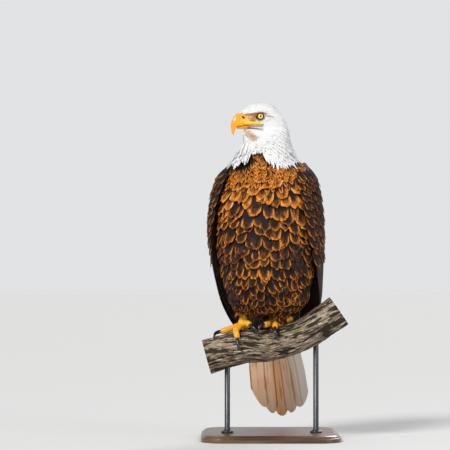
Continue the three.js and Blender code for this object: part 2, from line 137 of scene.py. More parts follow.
def makeMesh(name, points, quads, caps, values=None, uv=None, normals=None):
    # points in millimetres; quads and caps are index arrays, and each cap array has one row to a polygon
    mesh = bpy.data.meshes.new(name)
    points = toMetres(points.reshape(-1, 3))
    mesh.vertices.add(len(points))
    mesh.vertices.foreach_set("co", points.astype(np.float32).ravel())
    groups = [np.asarray(g) for g in (quads, *caps) if len(g)]
    corners = np.concatenate([g.ravel() for g in groups])
    sizes = np.concatenate([np.full(len(g), g.shape[1]) for g in groups])
    mesh.loops.add(len(corners))
    mesh.loops.foreach_set("vertex_index", corners.astype(np.int32))
    mesh.polygons.add(len(sizes))
    mesh.polygons.foreach_set("loop_start", np.concatenate([[0], np.cumsum(sizes)[:-1]]).astype(np.int32))
    mesh.update(calc_edges=True)
    mesh.polygons.foreach_set("use_smooth", np.ones(len(sizes), bool))
    for label, value in (values or {}).items():
        value = value.reshape(len(points), -1)
        kind = "FLOAT" if value.shape[1] == 1 else "FLOAT_VECTOR"
        field = "value" if value.shape[1] == 1 else "vector"
        mesh.attributes.new(label, kind, "POINT").data.foreach_set(field, value.astype(np.float32).ravel())
    if uv is not None:
        layer = mesh.uv_layers.new(name="OFBake")
        layer.uv.foreach_set("vector", uv.reshape(-1, 2)[corners].astype(np.float32).ravel())
    mesh.validate()
    if normals is not None:
        mesh.normals_split_custom_set(normals.astype(np.float32))
    piece = bpy.data.objects.new(name, mesh)
    bpy.context.scene.collection.objects.link(piece)
    return piece


def tubeFaces(tubes, rings, around):
    # quads of closed tubes whose points are numbered tube, ring, place round the ring, and their two end caps
    base = np.arange(tubes)[:, None, None] * rings * around
    i = np.arange(rings - 1)[None, :, None] * around
    k = np.arange(around)[None, None, :]
    after = (k + 1) % around
    a, b = base + i + k, base + i + after
    quads = np.stack([a, a + around, b + around, b], -1).reshape(-1, 4)
    ends = np.arange(tubes)[:, None] * rings * around
    first = ends + np.arange(around)[None, :]
    last = ends + (rings - 1) * around + np.arange(around)[None, ::-1]
    return quads, (first, last)


def vaneFaces(count, rows, columns, under):
    # a vane is a tube whose rings hold its top points, then its under points back from right to left;
    # its ends are fanned between the two edges, so that no cap spans the width of a feather
    around = columns + under
    quads, _ = tubeFaces(count, rows, around)
    quads = quads.reshape(count, rows - 1, around, 4)
    quads[:, :, columns - 1:] = np.roll(quads[:, :, columns - 1:], -1, -1)  # both faces split the same way
    quads = quads.reshape(-1, 4)
    low = np.concatenate([[0], np.arange(around - 1, columns - 1, -1), [columns - 1]])
    i = np.arange(columns - 1)
    near = np.clip(np.floor((i + 0.5) / (columns - 1) * (under + 1) + 0.499).astype(int), 1, under)
    j = np.arange(1, under)
    switch = (near[None, :] <= j[:, None]).sum(1)
    fan = np.concatenate([np.stack([i + 1, i, low[near]], -1), np.stack([low[j], low[j + 1], switch], -1)])
    start = np.arange(count)[:, None, None] * rows * around
    tips = (start + (rows - 1) * around + fan).reshape(-1, 3)
    roots = (start + fan[:, ::-1]).reshape(-1, 3)
    return quads, (roots, tips)


def joinTubes(name, tubes):
    # several closed tubes of points [ring, around, 3], each with its own dictionary of values, in one mesh
    quads, caps, start = [], [], 0
    for points, _ in tubes:
        q, ends = tubeFaces(1, points.shape[0], points.shape[1])
        quads.append(q + start)
        caps.extend(e + start for e in ends)
        start += points.shape[0] * points.shape[1]
    places = np.concatenate([points.reshape(-1, 3) for points, _ in tubes])
    values = {}
    for label in tubes[0][1]:
        values[label] = np.concatenate([v[label].reshape(p.shape[0] * p.shape[1], -1) for p, v in tubes])
    return makeMesh(name, places, np.concatenate(quads), caps, values)


def sweep(middles, across, along, halfWidth, halfHeight, around, swell=None):
    # rings: middle + across * halfWidth * cos(turn) + along * halfHeight * sin(turn), each times swell
    turn = np.linspace(0, 2 * np.pi, around, endpoint=False)
    grow = 1 if swell is None else swell
    wide = (halfWidth[:, None] * np.cos(turn) * grow)[..., None] * across[:, None, :]
    high = (halfHeight[:, None] * np.sin(turn) * grow)[..., None] * along[:, None, :]
    points = middles[:, None, :] + wide + high
    ahead = np.gradient(middles, axis=0)
    facing = np.einsum("ij,ij->i", np.cross(across, along), ahead).mean()
    return points[:, ::-1] if facing > 0 else points


def newMaterial(name, roughness, **settings):
    # settings are the shader's sockets, with _ for a space
    material = bpy.data.materials.new(name)
    material.use_nodes = True
    tree = material.node_tree
    shader = tree.nodes["Principled BSDF"]
    shader.inputs["Roughness"].default_value = roughness
    for label, value in settings.items():
        shader.inputs[label.replace("_", " ")].default_value = value
    return material, tree, shader


def addNode(tree, kind, inputs=None, output=0, **settings):
    # an input is a number or another node's socket; the new node's own socket comes back
    node = tree.nodes.new("ShaderNode" + kind)
    for label, value in settings.items():
        setattr(node, label, value)
    for label, value in (inputs or {}).items():
        socket = node.inputs[label]
        if isinstance(value, bpy.types.NodeSocket):
            tree.links.new(value, socket)
        else:
            socket.default_value = value
    return node.outputs[output]


def calc(tree, operation, a, b=0.0):
    return addNode(tree, "Math", {0: a, 1: b}, operation=operation)


def plus(tree, a, b):
    return calc(tree, "ADD", a, b)


def minus(tree, a, b):
    return calc(tree, "SUBTRACT", a, b)


def times(tree, a, b):
    return calc(tree, "MULTIPLY", a, b)


def ramp(tree, value, low, high, start=0.0, end=1.0):
    # from start to end, smoothly, as value goes from low to high
    inputs = {"Value": value, "From Min": low, "From Max": high, "To Min": start, "To Max": end}
    return addNode(tree, "MapRange", inputs, interpolation_type="SMOOTHSTEP")


def blend(tree, share, a, b):
    # colour a, turning to colour b as share grows from 0 to 1
    node = tree.nodes.new("ShaderNodeMix")
    node.data_type = "RGBA"
    for index, value in ((0, share), (6, a), (7, b)):
        if isinstance(value, bpy.types.NodeSocket):
            tree.links.new(value, node.inputs[index])
        else:
            node.inputs[index].default_value = value if index == 0 else (*value, 1.0)
    return node.outputs[2]


def grain(tree, vector, scale, detail=3.0, stretch=(1, 1, 1), roughness=0.5):
    place = addNode(tree, "Mapping", {"Vector": vector, "Scale": stretch})
    inputs = {"Vector": place, "Scale": scale, "Detail": detail, "Roughness": roughness}
    return addNode(tree, "TexNoise", inputs)


def cells(tree, vector, scale):
    # distance to the edge of small cells
    return addNode(tree, "TexVoronoi", {"Vector": vector, "Scale": scale}, feature="DISTANCE_TO_EDGE")


def objectPlace(tree):
    return addNode(tree, "TexCoord", output=3)


def vectorOf(tree, name):
    return addNode(tree, "Attribute", output=1, attribute_name=name)


def valueOf(tree, name):
    return addNode(tree, "Attribute", output=2, attribute_name=name)


def split(tree, vector):
    node = tree.nodes.new("ShaderNodeSeparateXYZ")
    tree.links.new(vector, node.inputs[0])
    return node.outputs


def join(tree, x, y, z):
    return addNode(tree, "CombineXYZ", {"X": x, "Y": y, "Z": z})


def finishMaterial(tree, shader, colour, roughness=None, height=None, strength=0.5, distance=0.001):
    tree.links.new(colour, shader.inputs["Base Color"])
    if roughness is not None:
        tree.links.new(roughness, shader.inputs["Roughness"])
    if height is not None:
        bump = addNode(tree, "Bump", {"Strength": strength, "Distance": distance, "Height": height})
        tree.links.new(bump, shader.inputs["Normal"])


def vaneSockets(tree):
    # rim, along, across from the feather's own shape, and seed, warmth, dirt from its place on the bird
    rim, along, across = split(tree, vectorOf(tree, "vaneShape"))
    seed, warmth, dirt = split(tree, vectorOf(tree, "vaneTone"))
    side = calc(tree, "ABSOLUTE", across)
    return {
        "rim": rim, "along": along, "across": across, "side": side,
        "seed": seed, "warmth": warmth, "dirt": dirt,
    }


def barbNoise(tree, vane, slant, fineness, spread, detail):
    # noise on lines that slant off the shaft, at (fineness (along - slant side), spread across, 53 seed)
    slanted = minus(tree, vane["along"], times(tree, vane["side"], slant))
    place = join(tree, times(tree, slanted, fineness), times(tree, vane["across"], spread),
                 times(tree, vane["seed"], 53.0))
    return addNode(tree, "TexNoise", {"Vector": place, "Scale": 1.0, "Detail": detail})


def unevenRim(tree, vane, barbs, amount):
    # rim + amount (barbs - 0.5)
    return plus(tree, vane["rim"], times(tree, minus(tree, barbs, 0.5), amount))


plumage = {
    "blackBrown": (0.010, 0.006, 0.005),
    "brown": (0.062, 0.024, 0.010),
    "purpleBrown": (0.110, 0.046, 0.026),
    "rust": (0.260, 0.075, 0.010),
    "gold": (0.760, 0.250, 0.014),
    "tan": (0.800, 0.430, 0.180),
    "white": (0.780, 0.782, 0.775),
    "grey": (0.560, 0.570, 0.590),
    "stain": (0.430, 0.200, 0.085),
    "quill": (0.020, 0.016, 0.016),
    "quillEdge": (0.150, 0.080, 0.040),
}


def brownVane():
    # a dark middle; rust, gold, then tan take over as rim + 0.5 (barbs - 0.5) + 0.5 (warmth - 0.5) grows
    material, tree, shader = newMaterial("brownPlumage", 0.66, Specular_IOR_Level=0.16)
    vane = vaneSockets(tree)
    along, across, seed, warmth = (vane[label] for label in ("along", "across", "seed", "warmth"))
    barbs = barbNoise(tree, vane, 0.45, 26.0, 1.2, 2.0)
    c = plumage
    blotch = grain(tree, join(tree, across, times(tree, along, 2.0), times(tree, seed, 31.0)), 1.6)
    body = blend(tree, ramp(tree, blotch, 0.40, 0.70), c["blackBrown"], c["brown"])
    body = blend(tree, ramp(tree, barbs, 0.54, 0.70, 0.0, 0.6), body, c["purpleBrown"])
    edge = unevenRim(tree, vane, barbs, 0.5)
    edge = plus(tree, edge, times(tree, minus(tree, warmth, 0.5), 0.5))
    present = ramp(tree, warmth, 0.0, 0.30)
    colour = blend(tree, times(tree, ramp(tree, edge, 0.52, 0.82), present), body, c["rust"])
    colour = blend(tree, times(tree, ramp(tree, edge, 0.74, 0.96), present), colour, c["gold"])
    pale = times(tree, ramp(tree, edge, 0.98, 1.14), ramp(tree, seed, 0.15, 0.8))
    colour = blend(tree, times(tree, pale, present), colour, c["tan"])
    wash = times(tree, ramp(tree, warmth, 0.55, 0.85, 0.0, 0.70), ramp(tree, blotch, 0.40, 0.60))
    colour = blend(tree, wash, colour, blend(tree, ramp(tree, barbs, 0.45, 0.60), c["rust"], c["gold"]))
    colour = blend(tree, ramp(tree, vane["side"], 0.10, 0.02, 0.0, 0.5), colour, c["blackBrown"])  # the shaft
    # painted shade: near black toward each feather's root, where the feathers above overlap it
    colour = blend(tree, ramp(tree, along, 0.80, 0.55, 0.0, 0.94), colour, c["blackBrown"])
    colour = blend(tree, ramp(tree, seed, 0.5, 0.0, 0.0, 0.5), colour, c["blackBrown"])
    finishMaterial(tree, shader, colour, ramp(tree, barbs, 0.3, 0.7, 0.55, 0.8), barbs, 0.6, 0.0014)
    return material


def whiteVane():
    # near white, greyer where the barbs part, greyer toward each feather's root as painted shade under the
    # feathers above, stained at the throat
    material, tree, shader = newMaterial("whitePlumage", 0.65, Specular_IOR_Level=0.25)
    vane = vaneSockets(tree)
    barbs = barbNoise(tree, vane, 0.45, 26.0, 1.2, 2.0)
    c = plumage
    colour = blend(tree, ramp(tree, barbs, 0.48, 0.28, 0.0, 0.20), c["white"], c["grey"])
    # painted shade: grey toward each feather's root, where the feathers above cover it
    colour = blend(tree, ramp(tree, vane["along"], 0.55, 0.10, 0.0, 0.18), colour, c["grey"])
    colour = blend(tree, ramp(tree, vane["seed"], 0.75, 1.0, 0.0, 0.16), colour, c["grey"])
    colour = blend(tree, times(tree, vane["dirt"], ramp(tree, barbs, 0.25, 0.60)), colour, c["stain"])
    finishMaterial(tree, shader, colour, None, barbs, 0.25, 0.0004)
    return material


def flightVane():
    # black-brown with slightly paler margins and fine barbs slanting off the shaft
    material, tree, shader = newMaterial("flightPlumage", 0.58, Specular_IOR_Level=0.2)
    vane = vaneSockets(tree)
    barbs = barbNoise(tree, vane, 0.45, 26.0, 1.2, 2.0)
    fine = barbNoise(tree, vane, 0.10, 260.0, 2.0, 1.0)
    c = plumage
    colour = blend(tree, ramp(tree, fine, 0.35, 0.75, 0.0, 0.6), c["quill"], c["brown"])
    margin = ramp(tree, unevenRim(tree, vane, barbs, 0.3), 0.88, 1.02)
    colour = blend(tree, times(tree, margin, vane["warmth"]), colour, c["quillEdge"])
    colour = blend(tree, ramp(tree, vane["side"], 0.09, 0.04, 0.0, 0.35), colour, c["quillEdge"])
    finishMaterial(tree, shader, colour, ramp(tree, fine, 0.3, 0.7, 0.5, 0.7), fine, 0.35, 0.0008)
    return material


def tailVane():
    # ivory white with rusty stains in long patches and a faint brown shaft
    material, tree, shader = newMaterial("tailPlumage", 0.55)
    vane = vaneSockets(tree)
    side, dirt = vane["side"], vane["dirt"]
    fine = barbNoise(tree, vane, 0.10, 240.0, 2.0, 1.0)
    patch = join(tree, times(tree, vane["across"], 1.3), times(tree, vane["along"], 3.2),
                 times(tree, vane["seed"], 17.0))
    patch = grain(tree, patch, 1.5)
    colour = blend(tree, ramp(tree, fine, 0.30, 0.70, 0.0, 0.25), (0.84, 0.78, 0.70), (0.66, 0.57, 0.48))
    colour = blend(tree, times(tree, dirt, 0.85), colour, (0.73, 0.37, 0.14))
    colour = blend(tree, times(tree, ramp(tree, patch, 0.50, 0.72), dirt), colour, (0.60, 0.21, 0.04))
    margin = ramp(tree, plus(tree, side, times(tree, patch, 0.35)), 0.88, 1.08)
    colour = blend(tree, times(tree, margin, dirt), colour, (0.34, 0.11, 0.018))
    colour = blend(tree, ramp(tree, side, 0.07, 0.03, 0.0, 0.25), colour, (0.42, 0.22, 0.10))
    finishMaterial(tree, shader, colour, None, fine, 0.3, 0.0008)
    return material


# the bird's surfaces: each is a function of a place along the lie, a place round, and a lift off the surface

def ring(centre, depth, width, yaw, lean, full=0.0):
    # middle, half depth, half width, two angles in degrees, and how much fuller the back is than the front
    return [*centre, depth, width, yaw, lean, full]


def headRing(fan, width, full):
    # rings fan about the chin: the far side lies 48 + 77 sin(fan)^1.25 away
    chin = headPoint(0, bird["faceForward"], -bird["chinDrop"])
    far = 48 + 77 * np.sin(np.radians(fan)) ** 1.25
    back, _ = axesOf(np.array(bird["headYaw"]), np.array(90.0 - fan))
    return ring(chin + back * (2 + far) / 2, (far - 2) / 2, width, bird["headYaw"], 90 - fan, full)


yaw = bird["bodyYaw"]
bodyRings = [
    headRing(0, 15, 0.2), headRing(16, 18, 0.35), headRing(32, 23, 0.5), headRing(48, 31, 0.75),
    headRing(64, 36, 0.75), headRing(80, 39, 0.6),
    ring((-3, -13, 768), 63, 53, 54, 8, 0.35), ring(place(-6, -8, 734), 72, 76, 34, 10, 0.1),
    ring(place(0, -4, 700), 90, 103, 18, 13), ring(place(0, -3, 655), 112, 121, yaw, 15),
    ring(place(0, -3, 600), 127, 130, yaw, 16), ring(place(0, 0, 540), 134, 133, yaw, 16),
    ring(place(0, 7, 480), 133, 129, yaw, 17), ring(place(0, 20, 420), 126, 119, yaw, 18),
    ring(place(0, 38, 376), 104, 102, yaw, 20), ring(place(0, 70, 345), 74, 80, yaw, 20),
    ring(place(0, 104, 294), 40, 60, yaw, 22), ring(place(0, 126, 262), 18, 52, yaw, 22),
]
wingRings = [
    ring(place(-2, 6, 716), 84, 108, yaw, 12), ring(place(-4, 2, 690), 106, 128, yaw, 13),
    ring(place(-5, 0, 650), 124, 143, yaw, 15), ring(place(-5, 0, 600), 139, 151, yaw, 16),
    ring(place(-4, 3, 540), 147, 154, yaw, 16), ring(place(-2, 10, 480), 147, 151, yaw, 17),
    ring(place(-1, 24, 420), 140, 145, yaw, 18), ring(place(-1, 48, 360), 122, 138, yaw, 20),
    ring(place(-3, 84, 300), 94, 122, yaw, 21), ring(place(-6, 122, 240), 64, 92, yaw, 21),
    ring(place(-6, 157, 180), 38, 62, yaw, 21), ring(place(-4, 186, 120), 20, 36, yaw, 21),
]
wingFront = [52, 54, 58, 62, 67, 74, 82, 92, 104, 118, 134, 150]  # degrees round from the breast
wingBack = [138, 150, 160, 166, 170, 173, 175, 176, 176, 176, 176, 176]


def wingEdges(t):
    rows = np.arange(len(wingRings))
    return np.interp(t, rows, wingFront), np.interp(t, rows, wingBack)


def ringSurface(rings, t, turn, lift):
    # centre - back (depth + lift) cos(turn) + left (width (1 - full cos(turn)) + lift) sin(turn)
    t, turn, lift = np.broadcast_arrays(t, turn, lift)
    row = spline(rings, t)
    back, left = axesOf(row[..., 5], row[..., 6])
    c, s = np.cos(turn), np.sin(turn)
    depth = (row[..., 3] + lift) * c
    width = (row[..., 4] * (1 - row[..., 7] * c) + lift) * s
    return row[..., :3] - back * depth[..., None] + left * width[..., None]


eyePlan = {"drop": 3.4, "back": 2.0, "aim": (0.965, 0.26, -0.03), "cornea": 0.9, "iris": 6.8}
browLine = {
    "forward": [-22, -12, 0, 12, 24, 38], "up": [3, 6.4, 7.6, 6.8, 4.8, 2.5],
    "jut": [0, 3.5, 6.5, 6.2, 4, 1.5],
}


def headRelief(forward, up):
    # a brow ridge, steep below and soft above, and a shallow socket round the eye: heights in millimetres
    above = up - np.interp(forward, browLine["forward"], browLine["up"])
    jut = np.interp(forward, browLine["forward"], browLine["jut"], 0, 0)
    brow = jut * np.exp(-((above / np.where(above > 0, 8.0, 2.2)) ** 2))
    socket = 3.6 * np.exp(-((np.hypot(forward + eyePlan["back"], up + eyePlan["drop"]) / 12) ** 4))
    billRoot = 7.0 * ease(27, 34, forward) * ease(-34, -28, up)
    return brow - socket - billRoot


def bodySurface(t, turn, lift):
    # the rings from chin to tail, pushed sideways by the relief of the head
    points = ringSurface(bodyRings, t, turn, lift)
    left, forward, up = headPlace(points)
    relief = headRelief(forward, up) * np.sign(left) * (np.asarray(t) < 5.2) * ease(8, 20, np.abs(left))
    return points + relief[..., None] * headLeft


def wingSurface(side):
    # degrees round the wing's rings = front + (back - front) p; p runs from 0 at the front edge to +-1 beside
    # the spine, positive on the left wing
    def surface(t, p, lift):
        front, back = wingEdges(t)
        return ringSurface(wingRings, t, np.radians(side * front + (back - front) * p), lift)
    return surface


legs = {
    "right": {
        "side": -1, "x": -57.0, "hipX": -52.0, "hemZ": 330.0,
        "toes": {
            "inner": [[-54, 88, 14], [-46, 74, 17], [-39, 62, 16]],
            "middle": [[-62, 86, 13], [-75, 62, 9], [-74, 42, 8.5], [-72, 27, 8.5]],
            "outer": [[-62, 92, 12], [-82, 86, 9], [-102, 82, 8], [-118, 79, 8]],
            "rear": [[-55, 96, 12], [-52, 118, 9], [-50, 138, 8.5]],
        },
        "claws": {
            "inner": [[-42, 66, 16.5], [-36, 56, 19], [-27, 46, 19], [-17, 35, 13], [-9, 24, 3]],
            "middle": [[-72.5, 31, 9], [-72, 20, 11], [-70, 8, 13], [-65, -3, 10], [-58, -12, 1]],
            "outer": [[-114, 79, 8], [-122, 77, 9], [-129, 69, 10], [-132, 60, 7], [-133, 52, 0]],
            "rear": [[-50, 134, 9], [-49.5, 146, 12], [-48, 158, 13], [-46, 170, 10], [-44, 181, 0.5]],
        },
    },
    "left": {
        "side": 1, "x": 28.0, "hipX": 70.0, "hemZ": 318.0,
        "toes": {
            "inner": [[22, 90, 13], [8, 80, 15], [-4, 68, 16]],
            "middle": [[28, 86, 13], [27, 70, 13], [25, 51, 12]],
            "outer": [[34, 92, 12], [48, 96, 9], [62, 98, 8], [73, 98, 8]],
            "rear": [[26, 96, 12], [24, 118, 9], [22, 138, 8.5]],
        },
        "claws": {
            "inner": [[-1, 71, 16], [-8, 65, 19], [-14, 58, 18], [-17, 50, 12], [-17, 43, 2]],
            "middle": [[25, 55, 12], [25, 44, 14], [26, 33, 14], [28, 22, 10], [31, 12, 1]],
            "outer": [[69, 98, 8], [77, 96, 9], [84, 90, 9], [88, 82, 6], [89, 75, 0]],
            "rear": [[22, 134, 9], [21.5, 146, 12], [21, 158, 13], [19.5, 170, 10], [18, 181, 0.5]],
        },
    },
}
thighTop = 436.0
thighRows = [  # share of the way down, share of the way over to the foot, y, half width, half depth
    [0, 0, 4, 46, 58], [0.27, 0, -8, 52, 62], [0.63, 0.1, -14, 47, 52], [0.84, 0.4, -12, 36, 38],
    [1, 0.85, -5, 21, 22],
]


def thighSurface(leg):
    # x = middle + (half width + lift) sin(turn), y = middle - (half depth + lift) cos(turn)
    def surface(t, turn, lift):
        t, turn, lift = np.broadcast_arrays(t, turn, lift)
        row = spline(thighRows, t)
        x = mix(leg["hipX"], leg["x"], row[..., 1]) + (row[..., 3] + lift) * np.sin(turn)
        y = row[..., 2] - (row[..., 4] + lift) * np.cos(turn)
        beyond = 26 * np.maximum(t - 4, 0)  # below the hem the surface goes straight down
        return np.stack([x, y, mix(thighTop, leg["hemZ"], row[..., 0]) - beyond], -1)
    return surface


tailPlan = {
    "root": (-11, 104, 306), "tip": (-4, 214, 46), "rootHalf": 45, "tipHalf": 74, "halfWidth": 20.0,
    "across": [-0.84, -0.83, -0.44, -0.43, -0.42, -0.04, -0.03, 0.04, 0.42, 0.43, 0.80, 0.84],
    "stain": [0.8, 0.7, 0.6, 0.7, 0.9, 1.0, 0.9, 1.0, 0.7, 0.6, 0.5, 0.05],
}


def tailSurface(share, across, lift):
    # a fan whose half width grows from root to tip, arched across, its corners cut short; lift goes downward
    share, across, lift = np.broadcast_arrays(share, across, lift)
    half = mix(tailPlan["rootHalf"], tailPlan["tipHalf"], np.sin(np.clip(share / 0.6, 0, 1) * np.pi / 2))
    half = half * (1 - 0.16 * np.clip(-across, 0, 1) * np.clip(share, 0, 1) ** 1.5)
    arch = 9 * (1 - across**2) * (1 - 0.4 * share)
    reach = share * (1 - 0.17 * np.abs(across) ** 1.8 * share)
    (l0, b0, z0), (l1, b1, z1) = tailPlan["root"], tailPlan["tip"]
    left, back = mix(l0, l1, reach) + across * half, mix(b0, b1, reach) + arch - lift
    return place(left, back, mix(z0, z1, reach) - 0.35 * lift)


# feathers are arrays of thin closed vanes laid on a surface

def basisAt(surface, t, turn):
    # lengths of the surface's two steps, and how far the step round leans along the step down
    e = 0.01
    down = (surface(t + e, turn, 0.0) - surface(t - e, turn, 0.0)) / (2 * e)
    over = (surface(t, turn + e, 0.0) - surface(t, turn - e, 0.0)) / (2 * e)
    downLength = np.linalg.norm(down, axis=-1) + 1e-6
    skew = (over * down).sum(-1) / downLength
    square = np.sqrt(np.maximum((over**2).sum(-1) - skew**2, 1e-6))
    return downLength, square, skew


def evenSize(t):
    return 1.0 + 0 * t


def courses(surface, tSpan, turnSpan, gap, spacing, size=evenSize):
    # rows at equal gaps along the lie, staggered by half a step; size(t) scales both gap and spacing
    loose, samples = 0.2, 400
    t = np.linspace(*tSpan, 160)
    turns = np.linspace(*turnSpan, 40)
    lines = surface(t[:, None], turns[None, :], 0.0)
    steps = np.linalg.norm(np.diff(lines, axis=0), axis=-1).mean(1)
    counted = np.concatenate([[0], np.cumsum(steps / (gap * size((t[1:] + t[:-1]) / 2)))])
    rowsT = np.interp(np.arange(0.3, counted[-1], 1.0), counted, t)
    found = []
    fine = np.linspace(*turnSpan, samples)
    for row, rowT in enumerate(rowsT):
        line = surface(np.full(samples, rowT), fine, 0.0)
        length = np.concatenate([[0], np.cumsum(np.linalg.norm(np.diff(line, axis=0), axis=-1))])
        number = max(3, int(length[-1] / (spacing * size(rowT))))
        shares = (np.arange(number) + 0.5 * (row % 2) + rng.uniform(-loose, loose, number)) / number
        found.append(np.stack([np.full(number, rowT), np.interp(shares * length[-1], length, fine)], -1))
    roots = np.concatenate(found)
    meanStep = steps.mean() / (t[1] - t[0])
    roots[:, 0] += rng.uniform(-loose, loose, len(roots)) * (gap * size(roots[:, 0])) / meanStep
    return roots[:, 0], roots[:, 1]


def perVane(values):
    return values[:, None, None]


def vanePoints(surface, f, shape):
    # f holds arrays t, turn, length, halfWidth, yaw, low, high, curl of one value to a feather;
    # a feather's own point (x along, y across) is (length s end(a), halfWidth a w(s)), turned by its yaw, and
    # goes to the surface through the basis at its root; its lift climbs from low to high, less cup a^2, plus
    # curl s^3
    rows, columns, under = shape["rows"], shape["columns"], shape["under"]
    s = np.linspace(0, 1, rows)[None, :, None]
    top = np.linspace(-1, 1, columns)
    a = np.concatenate([top, np.linspace(1, -1, under + 2)[1:-1]])
    below = (np.arange(len(a)) >= columns)[None, None, :]
    ragged = rng.uniform(0, shape["ragged"], (len(f["t"]), columns))
    ragged[:, [0, -1]] *= 0.4
    nearest = np.abs(top[None, :] - a[:, None]).argmin(1)
    end = (1 - shape["round"] * np.abs(a) ** shape["power"])[None, None, :] - ragged[:, nearest][:, None, :]
    width = np.minimum(1, (s / shape["rise"]) ** 0.6) * (1 - shape["taper"] * s ** shape["taperPower"])
    x = perVane(f["length"]) * s * mix(1, end, s)
    y = perVane(f["halfWidth"]) * a * width
    c, n = np.cos(perVane(f["yaw"])), np.sin(perVane(f["yaw"]))
    u, v = x * c - y * n, x * n + y * c
    downLength, square, skew = (perVane(q) for q in basisAt(surface, f["t"], f["turn"]))
    turnStep = v / square
    t = perVane(f["t"]) + (u - turnStep * skew) / downLength
    turn = perVane(f["turn"]) + turnStep
    lift = mix(perVane(f["low"]), perVane(f["high"]), s ** shape["climb"]) - shape["cup"] * a**2 * width
    lift = lift + perVane(f["curl"]) * s**3 - below * shape["thick"] * (1 - 0.8 * s)
    points = surface(t, turn, lift)
    normals = vaneNormals(points, columns, nearest, surfaceNormal(surface, t, turn), shape["soft"])
    tip = np.clip((s * np.minimum(end, 1) - shape["rimFrom"]) / (1 - shape["rimFrom"]), 0, 1)
    rim = np.sqrt(a**2 * (1 - tip**2) + tip**2)
    return points, np.stack(np.broadcast_arrays(rim, s, a), -1), normals


def unit(v):
    return v / np.maximum(np.linalg.norm(v, axis=-1, keepdims=True), 1e-9)


def surfaceNormal(surface, t, turn):
    # step down crossed with step round points out of the skin
    e = 0.01
    down = surface(t + e, turn, 0.0) - surface(t - e, turn, 0.0)
    return unit(np.cross(down, surface(t, turn + e, 0.0) - surface(t, turn - e, 0.0)))


def vaneNormals(points, columns, nearest, skinNormal, soft):
    # the vane's own normal eased toward the skin's by soft
    top = points[:, :, :columns]
    own = unit(np.cross(np.gradient(top, axis=1), np.gradient(top, axis=2)))
    own = unit(mix(own, skinNormal[:, :, :columns], soft))
    return own[:, :, nearest]


def cornerNormals(normals, columns, quads, caps):
    # the under side's and the root's corners take the top's normal reversed; the thin tip's keep it
    around = normals.shape[2]
    flat = normals.reshape(-1, 3)
    under = (np.arange(len(quads)) % around) >= columns - 1
    sides = flat[quads] * np.where(under, -1, 1)[:, None, None]
    roots, tips = caps
    return np.concatenate([sides.reshape(-1, 3), -flat[roots].reshape(-1, 3), flat[tips].reshape(-1, 3)])


def vanePiece(name, points, marks, normals, f, patch, patchSize, shape, look):
    # patch gives each feather's place on the unwrap, and patchSize how long it is there
    tone = np.stack([f["seed"], f["warmth"], f["dirt"]], -1)[:, None, None, :] + 0 * points
    uv = patch[:, None, None, :] + patchSize * (marks[..., 1:] * np.array([1, 0.5]) - np.array([0.5, 0]))
    quads, caps = vaneFaces(len(points), shape["rows"], shape["columns"], shape["under"])
    normals = cornerNormals(normals, shape["columns"], quads, caps)
    values = {"vaneShape": marks, "vaneTone": tone}
    return dress(makeMesh(name, points, quads, caps, values, uv[..., ::-1], normals), *look)


def featherCoat(name, surface, f, shape, tSpan, turnSpan, look):
    # the spans of t and turn fill the unwrap; feathers that a fold in the skin has stretched are left out
    points, marks, normals = vanePoints(surface, f, shape)
    middle = points[:, :, shape["columns"] // 2]
    across = points[:, 2:, 0] - points[:, 2:, shape["columns"] - 1]
    whole = np.linalg.norm(middle[:, -1] - middle[:, 0], axis=-1) < 1.35 * f["length"] + 3
    whole &= np.linalg.norm(across, axis=-1).max(-1) < 2 * 1.35 * f["halfWidth"] + 2
    f = chosen(f, whole)
    patch = unwrap(f["t"], f["turn"], tSpan, turnSpan)
    return vanePiece(name, points[whole], marks[whole], normals[whole], f, patch, 0.003, shape, look)


def dress(piece, material, slot):
    piece.data.materials.append(material)
    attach(piece, "root")
    print(piece.name, "triangles:", sum(len(p.vertices) - 2 for p in piece.data.polygons))
    return piece


def feathers(t, turn, length, halfWidth, low, high, yaw, curl=0.0, warmth=0.5, dirt=0.0):
    # one array to each measure, with a seed for each feather
    measures = {
        "t": t, "turn": turn, "length": length, "halfWidth": halfWidth, "low": low, "high": high, "yaw": yaw,
        "curl": curl, "warmth": warmth, "dirt": dirt, "seed": rng.uniform(0, 1, len(t)),
    }
    return {label: np.broadcast_to(np.asarray(v, float), (len(t),)).copy() for label, v in measures.items()}


def chosen(f, mask):
    return {label: value[mask] for label, value in f.items()}


def unwrap(t, turn, tSpan, turnSpan):
    # the skin laid flat: place round across the page, place along the lie down it
    u = 0.02 + 0.96 * (turn - turnSpan[0]) / (turnSpan[1] - turnSpan[0])
    v = 0.02 + 0.96 * (t - tSpan[0]) / (tSpan[1] - tSpan[0])
    return np.stack([v, u], -1)


contour = {  # a rounded body feather
    "rows": 9, "columns": 11, "under": 3, "ragged": 0.13, "round": 0.17, "power": 2.2, "rise": 0.35,
    "taper": 0.14, "taperPower": 3, "climb": 0.9, "cup": 3.0, "thick": 1.1, "rimFrom": 0.62, "soft": 0.25,
}
hackle = {  # a narrow pointed neck feather
    "rows": 7, "columns": 5, "under": 1, "ragged": 0.03, "round": 0.09, "power": 1.4, "rise": 0.25,
    "taper": 0.80, "taperPower": 1.8, "climb": 0.5, "cup": 0.8, "thick": 0.5, "rimFrom": 0.6, "soft": 0.78,
}
plume = {**hackle, "taper": 0.55, "round": 0.10, "ragged": 0.09, "soft": 0.3}  # blunter, for the collar
tuft = {  # a small blunt tuft of the head
    "rows": 4, "columns": 3, "under": 1, "ragged": 0.08, "round": 0.20, "power": 1.5, "rise": 0.3,
    "taper": 0.40, "taperPower": 1.6, "climb": 0.4, "cup": 0.3, "thick": 0.35, "rimFrom": 0.6, "soft": 0.9,
}

collar = {
    "x": [-90, -65, -44, -8, 10, 34, 57, 76], "height": [757, 747, 751, 753, 748, 739, 742, 752],
    "ragged": 5.0, "notchX": (-40.0, -9.0), "notchTop": 748.0,
}


